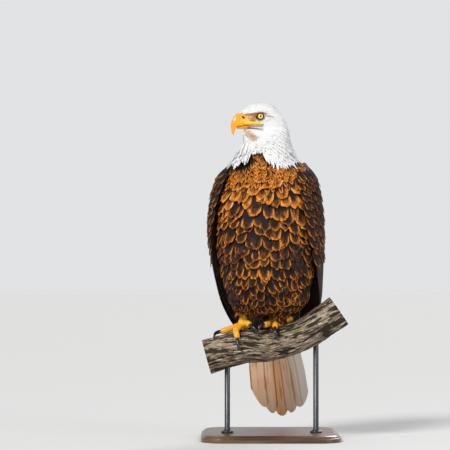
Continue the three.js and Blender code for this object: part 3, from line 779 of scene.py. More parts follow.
def isWhite(points):
    # white above the collar line, which is raised in a narrow notch at the front of the throat
    x, z = points[..., 0], points[..., 2]
    low, high = collar["notchX"]
    notch = ease(low - 5, low + 3, x) * ease(high + 5, high - 3, x) * (points[..., 1] < -20)
    line = mix(np.interp(x, collar["x"], collar["height"]), collar["notchTop"], notch)
    line = line + collar["ragged"] * noise(points / 18.0, 3)
    return z > line


def underHackles(points):
    # brown skin that the white feathers hang over
    x = points[..., 0]
    low, high = collar["notchX"]
    inNotch = (x > low) & (x < high) & (points[..., 1] < -20)
    return isWhite(points + np.array([0, 0, 27.0])) & ~inNotch


brownCoat, whiteCoat = (brownVane(), "brown_feather"), (whiteVane(), "white_feather")
flightCoat, tailCoat = (flightVane(), "dark_feather"), (tailVane(), "white_feather")

skinPlan = {
    "coatRows": [0, 3, 5, 6.2, 8, 15, 17], "coatDepth": [3.0, 3.0, 4.5, 9.0, 12.0, 12.0, 4.0],
    "wingDepth": 7.0, "headRings": 132, "bodyRings": 130, "around": 200,
}


def coatDepth(t):
    # how far the skin lies under the outside of the feathers
    return np.interp(t, skinPlan["coatRows"], skinPlan["coatDepth"])


# painted shade: dark lines behind the gape, along the mouth's crease and under the lower jaw's edge
faceShadeLines = [(-30.0, 0.045, 0.8, 0.6), (-36.4, 0.12, 2.3, 1.0)]  # up at the eye, slope, half width, darkness


def skinLook():
    # white above the collar and brown below it, with speckled orange skin between the eye and the bill, and
    # two painted shade lines on the cheek
    material, tree, shader = newMaterial("eagleSkin", 0.7)
    c = plumage
    white, lore, _ = split(tree, vectorOf(tree, "skinMarks"))
    _, forward, up = split(tree, vectorOf(tree, "facePlace"))
    speckle = grain(tree, objectPlace(tree), 300.0, 4.0, (1, 1, 1), 0.6)
    down = grain(tree, objectPlace(tree), 160.0, 3.0, (1, 1, 0.3))
    dark = blend(tree, ramp(tree, down, 0.35, 0.7), c["blackBrown"], c["brown"])
    pale = blend(tree, ramp(tree, down, 0.3, 0.7), c["grey"], c["white"])
    colour = blend(tree, white, dark, pale)
    bare = blend(tree, ramp(tree, speckle, 0.38, 0.66), (0.44, 0.17, 0.05), (0.88, 0.58, 0.28))
    bare = blend(tree, ramp(tree, forward, 22.0, 10.0, 0.0, 0.5), bare, (0.34, 0.15, 0.08))
    colour = blend(tree, lore, colour, bare)
    for start, slope, half, depth in faceShadeLines:
        # painted shade: a dark line across the cheek where up is near start + slope * forward
        away = minus(tree, minus(tree, up, start), times(tree, forward, slope))
        away = plus(tree, away, times(tree, minus(tree, speckle, 0.5), 2.0))
        line = ramp(tree, calc(tree, "ABSOLUTE", away), half, 0.4 * half)
        line = times(tree, line, ramp(tree, forward, -14.0, 4.0, 0.0, depth))
        colour = blend(tree, times(tree, line, white), colour, (0.10, 0.035, 0.016))
    finishMaterial(tree, shader, colour, None, speckle, 0.4, 0.0006)
    return material


def bodySkin():
    # the body's surface, sunk by the depth of its coat
    p = skinPlan
    headT = np.linspace(0, 5.5, p["headRings"], endpoint=False)
    t = np.concatenate([headT, np.linspace(5.5, 17, p["bodyRings"])])
    turn = np.linspace(-np.pi, np.pi, p["around"], endpoint=False)
    points = bodySurface(t[:, None], turn[None, :], -coatDepth(t)[:, None])
    left, forward, up = headPlace(points)
    onHead = (t[:, None] < 4) * (np.abs(left) > 8)
    browEdge = np.interp(forward, browLine["forward"], browLine["up"])
    lore = onHead * ease(6, 12, forward) * ease(46, 40, forward)
    lore = lore * ease(-20, -15, up) * ease(1.0, -2.5, up - browEdge)
    marks = np.stack([isWhite(points) * 1.0, lore, 0 * lore], -1)
    facePlace = np.stack([np.where(onHead, np.abs(left), -99), forward, up], -1)
    return points, {"skinMarks": marks, "facePlace": facePlace}


def plainSkin(points):
    # brown all over, with no marks of the face
    return points, {"skinMarks": 0 * points, "facePlace": 0 * points - 99}


def wingSkin(side):
    # a closed loop round each wing's section: degrees = middle - half cos(turn), sunk by the thickness inside
    share = np.linspace(0, 1, 70)
    t = share * (len(wingRings) - 1)
    turn = np.linspace(0, 2 * np.pi, 56, endpoint=False)
    opening = np.minimum(1, np.sqrt(np.sin(np.minimum(share * 7, 1) * np.pi / 2) + 0.02))
    opening = opening * np.minimum(1, np.sqrt((1 - share) * 9 + 0.02))
    front, back = wingEdges(t)
    middle, half = (front + back) / 2 + 1, (back - front) / 2 * opening - 1
    thick = mix(34, 7, np.clip((share - 0.5) / 0.25, 0, 1)) * opening
    angle = side * (middle[:, None] - half[:, None] * np.cos(turn))
    inset = np.where(np.sin(turn) > 0, 0, np.maximum(-np.sin(turn), 0) ** 0.6) * thick[:, None]
    depth = np.interp(share, [0, 0.5, 0.75, 1], [skinPlan["wingDepth"], skinPlan["wingDepth"], 3, 2])[:, None]
    points = ringSurface(wingRings, t[:, None], np.radians(angle), -np.maximum(inset, depth))
    return plainSkin(points[:, ::-1] if side > 0 else points)


def thighSkin(leg):
    # the thigh's surface, sunk by 10 mm at the top and 4 mm at the hem
    t = np.linspace(0, 4, 40)[:, None]
    turn = np.linspace(-np.pi, np.pi, 60, endpoint=False)[None, :]
    return plainSkin(thighSurface(leg)(t, turn, -np.interp(t, [0, 3, 4], [10, 8, 4])))


def sideOf(forward, up):
    # how far out the skin of the head lies at a place forward and up: the mean of its eight nearest points
    left, ahead, height = (v.ravel() for v in headPlace(bodySkinPoints[:skinPlan["headRings"]]))
    left, ahead, height = left[left > 5], ahead[left > 5], height[left > 5]
    apart = np.hypot(np.asarray(forward)[:, None] - ahead, np.asarray(up)[:, None] - height)
    return left[np.argsort(apart, 1)[:, :8]].mean(1)


bodySkinPoints = bodySkin()[0]
tubes = [bodySkin(), wingSkin(-1), wingSkin(1), thighSkin(legs["right"]), thighSkin(legs["left"])]
skin = dress(joinTubes("skin", tubes), skinLook(), "brown_feather")
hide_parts("head", "neck", "trunk", "tail_coverts", "thigh_right", "thigh_left",
            "wing_right_coverts", "wing_left_coverts")
print("skin made")


headCoat = {
    "tufts": 9400, "neckTufts": 2250, "forehead": 700, "shortest": 5.0, "crown": 13.0, "nape": 26.0,
    "hackle": 46.0, "hang": 0.85, "billRoot": headPoint(0, 38, -8),
}


def scatter(surface, tSpan, count):
    # roots spread evenly: candidates are kept in proportion to the local area, then thinned on a grid
    candidates = count * 14
    t = rng.uniform(*tSpan, candidates)
    turn = rng.uniform(-np.pi, np.pi, candidates)
    downLength, square, _ = basisAt(surface, t, turn)
    area = downLength * square
    keep = rng.uniform(0, 1, len(t)) < area / np.percentile(area, 99)
    t, turn = t[keep], turn[keep]
    points = surface(t, turn, 0.0)
    total = area.mean() * (tSpan[1] - tSpan[0]) * 2 * np.pi
    cell = np.sqrt(total / count) * 0.93
    _, first = np.unique(np.floor(points / cell).astype(int), axis=0, return_index=True)
    first = rng.permutation(first)
    return t[first], turn[first]


def throatStain(forward, up):
    # a streak from (35, -34), 26 mm back and 30 down, of half width 6 to 14 mm; f is the share along it and
    # d the distance off it
    back, down = 35 - forward, -34 - up
    f = (26 * back + 30 * down) / (26**2 + 30**2)
    d = np.hypot(back - 26 * f, down - 30 * f)
    return ease(1.1, 0.35, d / (6 + 8 * np.clip(f, 0, 1))) * ease(-0.2, 0.0, f) * ease(0.95, 0.5, f)


def napeShape(points):
    # fuller down the nape, flatter at the back of the crown and where the neck meets the mantle
    x, z = points[..., 0], points[..., 2]
    full = 2.5 * ease(12, 40, x) * ease(850, 825, z) * ease(752, 775, z)
    return full - 3.5 * ease(5, 25, x) * ease(838, 850, z) - 6.5 * ease(15, 45, x) * ease(768, 745, z)


def sweepBack(t, turn):
    # the yaw of feathers of the cheek and the side of the neck, toward the back: 0.42 sin(turn)
    height = bodySurface(t, turn, 0.0)[..., 2]
    return 0.42 * np.sin(turn) * ease(2.0, 4.0, t) * ease(742, 795, height)


def hangDown(t, turn):
    # the yaw that turns a feather from the line down the skin to straight down, at the front of the neck only
    e = 0.02
    down = bodySurface(t + e, turn, 0.0) - bodySurface(t - e, turn, 0.0)
    across = bodySurface(t, turn + e, 0.0) - bodySurface(t, turn - e, 0.0)
    lean = np.arctan2(down[..., 0], -down[..., 2]) * np.sign(across[..., 0])
    points = bodySurface(t, turn, 0.0)
    front = ease(5, -25, points[..., 1]) * ease(805, 770, points[..., 2])
    return -headCoat["hang"] * np.clip(lean, -0.9, 0.9) * front * ease(-70, -50, points[..., 0])


def isBare(points):
    # no feathers between eye and bill, about the eye, under the gape, or inside the bill
    left, forward, up = headPlace(points)
    fromEye = np.hypot(forward + eyePlan["back"], up + eyePlan["drop"])
    side = np.abs(left) > 9
    browEdge = np.interp(forward, browLine["forward"], browLine["up"]) - 2.0
    bare = side & (forward > 11) & (up < browEdge) & (up > -17)  # between eye and bill
    bare |= side & (fromEye < 11.2) & (up < browEdge)
    gapeTop = np.interp(forward, [-9, 31], [-19.5, -13])
    uneven = forward + 4 * noise(points / 6.0, 17)
    bare |= side & (uneven > -7) & (up < gapeTop) & (up > -39.6 + 0.12 * forward)
    return bare | (forward > 29) & (up < 8.5) & (up > -40)


def headFeathers():
    t, turn = scatter(bodySurface, (0.05, 6.3), headCoat["tufts"])
    points = bodySurface(t, turn, 0.0)
    fromBill = np.linalg.norm(points - headCoat["billRoot"], axis=-1)
    keep = ~isBare(points) & isWhite(points) & ((t < 5.4) | (fromBill < 72))
    t, turn, points, fromBill = (v[keep] for v in (t, turn, points, fromBill))
    _, forward, up = headPlace(points)
    lengths = [headCoat["shortest"], 9, headCoat["crown"], headCoat["nape"]]
    length = np.interp(fromBill, [12, 40, 75, 120], lengths)
    length = length * rng.uniform(0.85, 1.2, len(t)) * (1 + 0.7 * ease(-20, -34, up))
    high = np.interp(fromBill, [12, 60, 120], [-1.2, -0.8, 0.2]) + rng.uniform(-0.35, 0.45, len(t))
    high = high + napeShape(points)
    yawTurn = 0.12 * noise(points / 14.0, 5) + sweepBack(t, turn) + rng.normal(0, 0.09, len(t))
    curl = rng.uniform(-0.3, 0.5, len(t))
    behindEye = ease(2.2, 0.8, np.abs(up + 0.5 - 0.22 * (forward + 12)))
    behindEye = behindEye * ease(-25, -21, forward) * ease(-9, -12, forward)
    return feathers(t, turn, length, 0.9 + 0.11 * length, -coatDepth(t) - 1.2, high, yawTurn, curl, 0.5,
                    np.maximum(throatStain(forward, up), behindEye))


def neckFeathers():
    t, turn = scatter(bodySurface, (5.0, 7.4), headCoat["neckTufts"])
    points = bodySurface(t, turn, 0.0)
    keep = isWhite(points) & ~isBare(points) & (np.linalg.norm(points - headCoat["billRoot"], axis=-1) > 60)
    t, turn, points = t[keep], turn[keep], points[keep]
    x, y, z = points.T
    length = np.interp(z, [735, 770, 810], [headCoat["hackle"], 36, headCoat["nape"]])
    length = length * rng.uniform(0.8, 1.2, len(t))
    notchLow, notchHigh = collar["notchX"]
    inNotch = (x > notchLow - 3) & (x < notchHigh + 3) & (y < -20)
    room = z - collar["notchTop"] + rng.uniform(2, 15, len(t))
    length = np.where(inNotch, np.minimum(length, np.maximum(room, 9)), length)
    flare = 15 * ease(-38, -62, x) * ease(808, 765, z)
    _, forward, up = headPlace(points)
    high = flare + napeShape(points) + rng.uniform(0.3, 2.2, len(t)) + 1.5 * ease(-10, -40, y)
    yawTurn = 0.10 * noise(points / 22.0, 6) + sweepBack(t, turn) + hangDown(t, turn)
    yawTurn = yawTurn + rng.normal(0, 0.06, len(t))
    return feathers(t, turn, length, 1.4 + 0.095 * length, -coatDepth(t) + 1, high, yawTurn,
                    rng.uniform(-0.8, 0.8, len(t)), 0.5, throatStain(forward, up))


fullTurn = (-np.pi, np.pi)
featherCoat("coat_head", bodySurface, headFeathers(), tuft, (0, 5.6), fullTurn, whiteCoat)
featherCoat("coat_neck", bodySurface, neckFeathers(), hackle, (4.8, 7.6), fullTurn, whiteCoat)


def foreheadSurface(t, turn, lift):
    # a narrow saddle over the bill's root, running backward: up falls by 0.05 left^2 either side of its ridge
    t, turn, lift = np.broadcast_arrays(t, turn, lift)
    forward, left = 53 - 25 * t, 10 * turn
    up = np.interp(forward, [28, 34, 42, 48, 53], [16.5, 13.6, 10.4, 7.4, 4.6]) - 0.05 * left**2
    return headPoint(left, forward, up + lift)


def foreheadFeathers():
    count = headCoat["forehead"]
    t, turn = rng.uniform(0, 1, count), np.clip(rng.normal(0, 0.45, count), -1, 1)
    t = np.clip(t + 0.35 * np.abs(turn), 0, 1)
    return feathers(t, turn, rng.uniform(5, 8, count), rng.uniform(1.1, 1.6, count), -3.2,
                    rng.uniform(-1.0, 0.4, count), -0.25 * turn + rng.normal(0, 0.08, count),
                    rng.uniform(-0.2, 0.4, count))


featherCoat("coat_forehead", foreheadSurface, foreheadFeathers(), tuft, (0, 1), (-1, 1), whiteCoat)
print("white coat made")

bodyCoat = {
    "collarFeathers": 1500, "gap": 23.0, "spacing": 25.0, "length": 66.0, "halfWidth": 18.0,
    "warmthZ": [330, 420, 520, 600, 650, 700, 740], "warmth": [0.50, 0.44, 0.38, 0.62, 0.84, 0.86, 0.60],
}


def warmthAt(points):
    # gold over the whole upper breast, then dark with gold in patches; darker toward the wings and the back
    front = -points[..., 1] / 110
    patch = noise(points / np.array([40.0, 60.0, 44.0]), 9)
    height = np.interp(points[..., 2], bodyCoat["warmthZ"], bodyCoat["warmth"])
    rough = np.interp(points[..., 2], [500, 640], [0.42, 0.34])
    return np.clip(height * ease(-0.6, 0.4, front) + rough * patch, 0.02, 1)


def bodySize(t):
    return np.interp(t, [6.2, 7.2, 8.5, 10.5, 12, 14, 16.5], [0.50, 0.72, 0.92, 0.95, 0.85, 0.75, 0.75])


def bodyFeathers():
    # none where the wings cover the body; the belly's are ruffled: narrower, and less even in place and lift
    t, turn = courses(bodySurface, (6.3, 16.4), fullTurn, bodyCoat["gap"], bodyCoat["spacing"], bodySize)
    points = bodySurface(t, turn, 0.0)
    angle = np.degrees(np.abs((turn + np.pi) % (2 * np.pi) - np.pi))
    wingZ = np.array([r[2] for r in wingRings])
    front, back = (np.interp(points[:, 2], wingZ[::-1], edge[::-1]) for edge in (wingFront, wingBack))
    hidden = (angle > front + 14) & (angle < back - 10) & (points[:, 2] < 690)
    keep = ~isWhite(points) & ~underHackles(points) & ~hidden
    t, turn, points = t[keep], turn[keep], points[keep]
    k = bodySize(t)
    scale = rng.uniform(0.78, 1.22, len(t))
    ruffled = ease(520, 430, points[:, 2]) * ease(0.2, 0.7, np.cos(turn))
    yawTurn = 0.22 * np.sin(turn) + rng.normal(0, 0.13, len(t)) * (1 + 1.2 * ruffled)
    high = np.interp(t, [6.3, 8, 16], [-1.5, 0.6, 1.0]) + rng.uniform(-1.5, 2.4, len(t)) * (1 + 0.8 * ruffled)
    width = bodyCoat["halfWidth"] * k * rng.uniform(0.74, 1.15, len(t)) * (1 - 0.22 * ruffled)
    curl = rng.uniform(-1.5, 2.6, len(t)) * (1 + 0.8 * ruffled)
    return feathers(t, turn, bodyCoat["length"] * k * scale, width, -coatDepth(t) + 2, high, yawTurn, curl,
                    warmthAt(points))


allBody = bodyFeathers()
inFront = np.cos(allBody["turn"]) > 0.25
for name, tract in (("coat_breast", inFront), ("coat_back", ~inFront)):
    featherCoat(name, bodySurface, chosen(allBody, tract), contour, (6, 17), fullTurn, brownCoat)


def collarFeathers():
    # narrow ragged feathers below the white, standing up into its notch
    t, turn = scatter(bodySurface, (5.6, 8.3), bodyCoat["collarFeathers"])
    points = bodySurface(t, turn, 0.0)
    keep = ~isWhite(points) & ~underHackles(points) & (rng.uniform(0, 1, len(t)) < ease(8.4, 7.4, t))
    t, turn, points = t[keep], turn[keep], points[keep]
    length = np.interp(t, [6, 8], [24, 40]) * rng.uniform(0.8, 1.25, len(t))
    x, z = points[:, 0], points[:, 2] * (points[:, 1] < -20)
    # painted highlight: a golden streak lit in the notch; painted shade: blacker feathers beside it
    lit = ease(-44, -36, x) * ease(-19, -27, x) * ease(690, 712, z)  # a golden streak in the notch
    dark = ease(-23, -18, x) * ease(-2, -8, x) * ease(700, 715, z)  # and black beside it
    warmth = np.clip(0.75 * warmthAt(points) + 0.5 * lit - 0.6 * dark, 0.0, 1)
    return feathers(t, turn, length, 2.2 + 0.10 * length, -coatDepth(t) + 1, rng.uniform(-2.4, 0.6, len(t)),
                    rng.normal(0, 0.12, len(t)), rng.uniform(-0.5, 2.0, len(t)), warmth)


featherCoat("coat_collar", bodySurface, collarFeathers(), plume, (5.4, 8.5), fullTurn, brownCoat)


def thighFeathers(leg, surface):
    # some at the front of the left thigh hang lower, by 16 to 36 mm
    t, turn = courses(surface, (0.9, 3.95), fullTurn, 15.0, 14.0)
    points = surface(t, turn, 0.0)
    scale = rng.uniform(0.85, 1.15, len(t))
    length = np.interp(t, [0, 3, 4], [46, 36, 20]) * scale
    hang = (16 + 20 * ease(30, 55, points[:, 0])) * ease(1.5, 3.5, t)
    length = length + np.where((leg["side"] > 0) & (points[:, 1] < 14), hang, 0)
    return feathers(t, turn, length, length * 0.24, -8, rng.uniform(-0.6, 1.4, len(t)),
                    rng.normal(0, 0.10, len(t)), rng.uniform(-1, 2.0, len(t)), warmthAt(points) * 0.9)


for name, leg in legs.items():
    surface = thighSurface(leg)
    part = thighFeathers(leg, surface)
    featherCoat("coat_thigh_" + name, surface, part, contour, (0, 4), fullTurn, brownCoat)
print("brown coat made")

wingCoat = {"gap": 18.0, "spacing": 18.5, "length": 48.0, "halfWidth": 12.5}


def covertSize(t):
    return np.interp(t, [0, 1.5, 4, 6.5], [0.66, 0.80, 1.15, 1.5])


def covertFeathers(side, surface):
    span = (-0.04, 0.99) if side > 0 else (-0.99, 0.04)
    t, p = courses(surface, (0.05, 4.5), span, wingCoat["gap"], wingCoat["spacing"], covertSize)
    points = surface(t, p, 0.0)
    k = covertSize(t) * rng.uniform(0.88, 1.12, len(t))
    warmth = np.clip(0.34 + 0.22 * noise(points / 40.0, 13) - 0.25 * ease(0.15, 0.7, np.abs(p)), 0.03, 1)
    return feathers(t, p, wingCoat["length"] * k, wingCoat["halfWidth"] * k, -6.5,
                    rng.uniform(0.0, 1.6, len(t)), rng.normal(0, 0.07, len(t)),
                    rng.uniform(-0.8, 0.8, len(t)), warmth)


quills = {"count": 17, "primaries": 8, "primaryHalf": 13.0, "secondaryHalf": 17.0}
quillShape = {"rows": 26, "columns": 10, "under": 8, "taper": 0.35, "round": 0.09, "cup": 1.6, "thick": 0.9}
tailShape = {**quillShape, "taper": 0.02, "round": 0.10, "cup": 1.4}


def longVanes(surface, lines, shape):
    # each vane follows its own line from (t0, turn0) to (t1, turn1), bowed by bow sin(pi s); its width in
    # millimetres is turned into a step round by the surface, and a shaft stands up along its middle
    s = np.linspace(0, 1, shape["rows"])[None, :, None]
    top = np.array([-1, -0.72, -0.42, -0.15, -0.05, 0.05, 0.15, 0.42, 0.72, 1.0])
    a = np.concatenate([top, top[-2:0:-1]])
    below = (np.arange(len(a)) >= len(top))[None, None, :]
    nearest = np.abs(top[None, :] - a[:, None]).argmin(1)
    width = np.minimum(1, (s / 0.12) ** 0.6) * (1 - shape["taper"] * s**3)
    tipCut = 1 - (shape["round"] * np.abs(a) ** 2.4) * np.ones_like(s)
    along = s * mix(1, tipCut, ease(0.6, 1.0, s))
    t = mix(perVane(lines["t0"]), perVane(lines["t1"]), along)
    turn = mix(perVane(lines["turn0"]), perVane(lines["turn1"]), along)
    turn = turn + perVane(lines["bow"]) * np.sin(np.pi * along)
    _, square, _ = basisAt(surface, t, turn)
    turn = turn + perVane(lines["halfWidth"]) * width * a / square
    shaft = 0.9 * (np.abs(a) < 0.08) * (1 - 0.6 * s) * np.where(below, -1, 1)
    lift = mix(perVane(lines["low"]), perVane(lines["high"]), s) - shape["cup"] * a**2
    lift = lift + shaft - below * shape["thick"] * (1 - 0.6 * s)
    points = surface(t, turn, lift)
    normals = vaneNormals(points, len(top), nearest, surfaceNormal(surface, t, turn), 0.2)
    tip = ease(0.9, 1, s)
    rim = np.sqrt(a**2 * (1 - tip**2) + tip**2) + 0 * t
    return points, np.stack(np.broadcast_arrays(rim, s, a), -1), normals


def longCoat(name, surface, lines, shape, look):
    # the vanes stand side by side across the unwrap
    points, marks, normals = longVanes(surface, lines, shape)
    count = len(points)
    patch = np.stack([np.full(count, 0.5), 0.05 + 0.9 * np.arange(count) / count], -1)
    return vanePiece(name, points, marks, normals, lines, patch, 0.02, shape, look)


def flightFeathers(side):
    # from the front edge to the spine: long primaries below, shorter secondaries stacked over them
    count = quills["count"]
    k = np.arange(count)
    share = k / (count - 1)
    primary = k < quills["primaries"]
    t1 = np.where(primary, 10.95 - 0.20 * k, 9.0 - 1.5 * (share - 0.45))
    t1 = t1 + rng.uniform(-0.10, 0.10, count)
    shift = rng.uniform(-0.012, 0.012, count)
    half = np.where(primary, quills["primaryHalf"], quills["secondaryHalf"])
    return {
        "t0": np.where(primary, 4.2 + 0.05 * k, 3.4 - 0.4 * share), "t1": t1,
        "turn0": side * (0.02 + 0.90 * share), "turn1": side * (0.10 + 0.86 * share + shift),
        "bow": side * rng.uniform(-0.034, -0.006, count), "low": -5.0 + 0.25 * k, "high": -2.8 + 0.28 * k,
        "halfWidth": half * rng.uniform(0.88, 1.12, count), "seed": rng.uniform(0, 1, count),
        "warmth": np.where(primary, 0.15, rng.uniform(0.2, 0.8, count)), "dirt": 0 * share,
    }


for name, side in (("right", -1), ("left", 1)):
    surface = wingSurface(side)
    featherCoat("coat_wing_" + name, surface, covertFeathers(side, surface), contour, (-0.1, 6.4),
                (-0.06 * side, 1.0 * side), brownCoat)
    flight = longCoat("flight_" + name, surface, flightFeathers(side), quillShape, flightCoat)
    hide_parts("wing_" + name + "_secondaries", "wing_" + name + "_primaries")
print("wings made")


def tailFeathers():
    # lines fanned from the root, the outer ones lifted under the middle ones
    across = np.array(tailPlan["across"])
    count = len(across)
    return {
        "t0": np.full(count, -0.1), "t1": rng.uniform(0.985, 1.0, count),
        "turn0": across * 0.8, "turn1": across, "bow": 0 * across, "low": 4.5 * np.abs(across) - 2.5,
        "high": 4.2 * np.abs(across) - 2.4 + 0.3 * (across > 0),
        "halfWidth": np.full(count, tailPlan["halfWidth"]), "seed": rng.uniform(0, 1, count),
        "warmth": np.full(count, 0.3), "dirt": np.array(tailPlan["stain"]),
    }


def tailCovertFeathers():
    t, turn = courses(bodySurface, (15.6, 16.9), fullTurn, 12.0, 13.0)
    scale = rng.uniform(0.85, 1.15, len(t))
    return feathers(t, turn, 50 * scale, 9.5 * scale, -5, rng.uniform(1, 3.0, len(t)),
                    rng.normal(0, 0.06, len(t)))


tail = longCoat("tail_feathers", tailSurface, tailFeathers(), tailShape, tailCoat)
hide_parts("tail")
featherCoat("coat_tail_coverts", bodySurface, tailCovertFeathers(), contour, (15, 17), fullTurn, whiteCoat)
print("tail made")

billPlan = {"around": 72, "rings": 110, "cereReach": 47.0, "nostril": (39.5, -6.5)}
upperBill = [  # ridge forward and up, edge forward and up, half width
    [24, 8, 20, -26, 14.5], [34, 8.5, 30, -28, 14.8], [46, 6.5, 43, -30, 14], [54, 2.6, 50, -31, 12.5],
    [61, -4, 55, -33.5, 11], [66, -13, 58, -37, 9], [69, -24, 59, -40.5, 6.6], [69.2, -35, 60, -44.5, 4.6],
    [67, -45.5, 61, -49, 2.8], [62.5, -54, 61.5, -53.5, 0.7],
]
lowerBill = [
    [22, -26, 20, -33.5, 12.5], [30, -27, 29, -34.5, 12], [38, -28.5, 37, -35.8, 10.5],
    [47, -30.5, 46.5, -36, 7.5], [52.5, -33, 52.5, -35, 3.0],
]


def billPoints(rows, rings, around, narrow):
    # sections from edge to ridge: middle + half cos(turn), and across it
    # half width sin(turn) (1 - narrow cos(turn)) / (1 + 0.35 narrow)
    row = spline(rows, np.linspace(0, len(rows) - 1, rings))
    ridge, edge = headPoint(0, row[:, 0], row[:, 1]), headPoint(0, row[:, 2], row[:, 3])
    turn = np.linspace(0, 2 * np.pi, around, endpoint=False)
    flat = np.sin(turn) * (1 - narrow * np.cos(turn)) / (1 + 0.35 * narrow)
    middle, half = (ridge + edge) / 2, (ridge - edge) / 2
    points = middle[:, None] + half[:, None] * np.cos(turn)[None, :, None]
    return points + (row[:, 4:5] * flat[None, :])[..., None] * headLeft


def upperBillPoints():
    # the plain sections, pushed out over the cere and round the nostril's rim and in along its slit
    p = billPlan
    points = billPoints(upperBill, p["rings"], p["around"], 0.30)
    left, forward, up = headPlace(points)
    cereEdge = p["cereReach"] - 0.10 * (up + 5) + 1.5 * noise(points / 6.0, 21)
    cere = ease(cereEdge + 2.0, cereEdge - 1.0, forward)
    x, z = forward - p["nostril"][0], up - p["nostril"][1]
    along, over = x * 0.71 - z * 0.71, x * 0.71 + z * 0.71
    slit = np.exp(-((along / 2.8) ** 2) - (over / 4.8) ** 2) * (np.abs(left) > 6)
    rim = np.exp(-(((np.hypot(along, over * 0.6)) - 3.2) / 1.2) ** 2)
    bitingEdge = np.interp(forward, [30, 43, 50, 55], [-28, -30, -31, -33.5])
    tomium = ease(3.5, 0.5, up - bitingEdge) * (forward < 56)
    push = 0.7 * cere - 1.8 * slit + 0.35 * rim * cere
    points = points + (np.sign(left) * push)[..., None] * headLeft
    points[..., 2] += 0.6 * cere * (np.abs(left) < 6) * ease(-5, 5, up)
    return points, {"billMarks": np.stack([cere, slit, tomium], -1)}


def billLook():
    # yellow cere with fine pores, horn that deepens to orange along the biting edge, lengthwise growth lines
    material, tree, shader = newMaterial("billHorn", 0.33, Coat_Weight=0.25, Coat_Roughness=0.2)
    cere, slit, tomium = split(tree, vectorOf(tree, "billMarks"))
    lines = grain(tree, objectPlace(tree), 60.0, 4.0, (1, 1, 3.0))
    blotch = grain(tree, objectPlace(tree), 38.0, 3.0)
    pores = cells(tree, objectPlace(tree), 900.0)
    horn = blend(tree, ramp(tree, blotch, 0.3, 0.75), (0.88, 0.40, 0.010), (0.84, 0.23, 0.006))
    horn = blend(tree, ramp(tree, lines, 0.52, 0.75, 0.0, 0.5), horn, (0.93, 0.55, 0.03))
    horn = blend(tree, times(tree, tomium, 0.6), horn, (0.60, 0.16, 0.012))
    soft = blend(tree, ramp(tree, blotch, 0.35, 0.7), (0.90, 0.50, 0.012), (0.85, 0.34, 0.010))
    colour = blend(tree, cere, horn, soft)
    # painted shade: near black inside the nostril's slit
    colour = blend(tree, ramp(tree, slit, 0.18, 0.55), colour, (0.014, 0.006, 0.004))
    height = plus(tree, times(tree, lines, 0.6), times(tree, times(tree, pores, cere), 0.6))
    finishMaterial(tree, shader, colour, ramp(tree, blotch, 0.3, 0.7, 0.26, 0.42), height, 0.22, 0.0006)
    return material


billMaterial = billLook()
upper = dress(joinTubes("bill_upper_horn", [upperBillPoints()]), billMaterial, "bill_horn")
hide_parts("bill_upper")
lowerPoints = billPoints(lowerBill, 50, 48, -0.2)
lowerMarks = {"billMarks": 0 * lowerPoints + np.array([0, 0, 0.35])}
lower = dress(joinTubes("bill_lower_horn", [(lowerPoints, lowerMarks)]), billMaterial, "bill_horn")
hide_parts("bill_lower")

gapePlan = {  # forward, up, out, half height and half depth along the flange
    "line": [
        [46, -22, 8.0, 2.0, 1.6], [37, -21.5, 12.6, 4.6, 2.4], [30, -21, 16.2, 5.6, 2.8],
        [20, -21.6, 22.5, 4.7, 2.8], [8, -22.6, 27.8, 3.6, 2.6], [-3, -23.4, 30.8, 2.7, 2.2],
        [-8, -23.6, 31.2, 0.8, 0.6],
    ],
    "rings": 60, "around": 28,
    "pale": (0.92, 0.56, 0.015), "deep": (0.80, 0.27, 0.008), "dark": (0.4, 0.12, 0.02),
}


def upright(rings):
    # the same two directions at every ring: across the head, and up
    return np.tile(headLeft, (rings, 1)), np.tile([0, 0, 1.0], (rings, 1))


def gapeTubes():
    # a soft flange from the bill's corner back under the eye: forward, up and side along a smooth line
    p = gapePlan
    knots = np.linspace(0, len(p["line"]) - 1, p["rings"])
    forward, up, out, halfHeight, halfDepth = spline(p["line"], knots).T
    tubes = []
    for side in (-1, 1):
        middles = headPoint(side * (out - 1.6), forward, up)
        points = sweep(middles, *upright(p["rings"]), halfDepth, halfHeight, p["around"])
        below = (middles[:, None, 2] - points[..., 2]) / halfHeight[:, None]
        # painted shade: the flange's lower half turns deeper orange
        tubes.append((points, {"shade": 0.15 + 0.75 * ease(-0.2, 0.9, below)}))
    return tubes


def softLook(name, plan):
    # pale where the shade attribute is low, deep and then dark as it grows, with fine noise: painted shade on
    # the gape's lower half, and in part at the lids' dark rim
    material, tree, shader = newMaterial(name, 0.42, Subsurface_Weight=0.08, Subsurface_Scale=0.002)
    shade = valueOf(tree, "shade")
    fine = grain(tree, objectPlace(tree), 260.0, 3.0)
    crease = plus(tree, shade, times(tree, minus(tree, fine, 0.5), 0.9))
    colour = blend(tree, ramp(tree, crease, 0.35, 0.85), plan["pale"], plan["deep"])
    colour = blend(tree, ramp(tree, shade, 0.9, 1.1), colour, plan["dark"])
    finishMaterial(tree, shader, colour, None, fine, 0.35, 0.0006)
    return material


browPlan = {  # forward, up, out and half thickness along the ridge
    "line": [
        [39, 0.6, -0.6, 0.7], [30, 2.0, 0.0, 1.1], [20, 3.4, 1.2, 1.4], [10, 4.9, 2.8, 1.5],
        [0, 5.6, 3.2, 1.3], [-9, 4.2, 1.4, 0.9], [-15, 2.0, -0.5, 0.4],
    ],
    "rings": 70, "around": 20,
    "pale": (0.50, 0.21, 0.05), "deep": (0.22, 0.085, 0.03), "dark": (0.1, 0.04, 0.02),
}


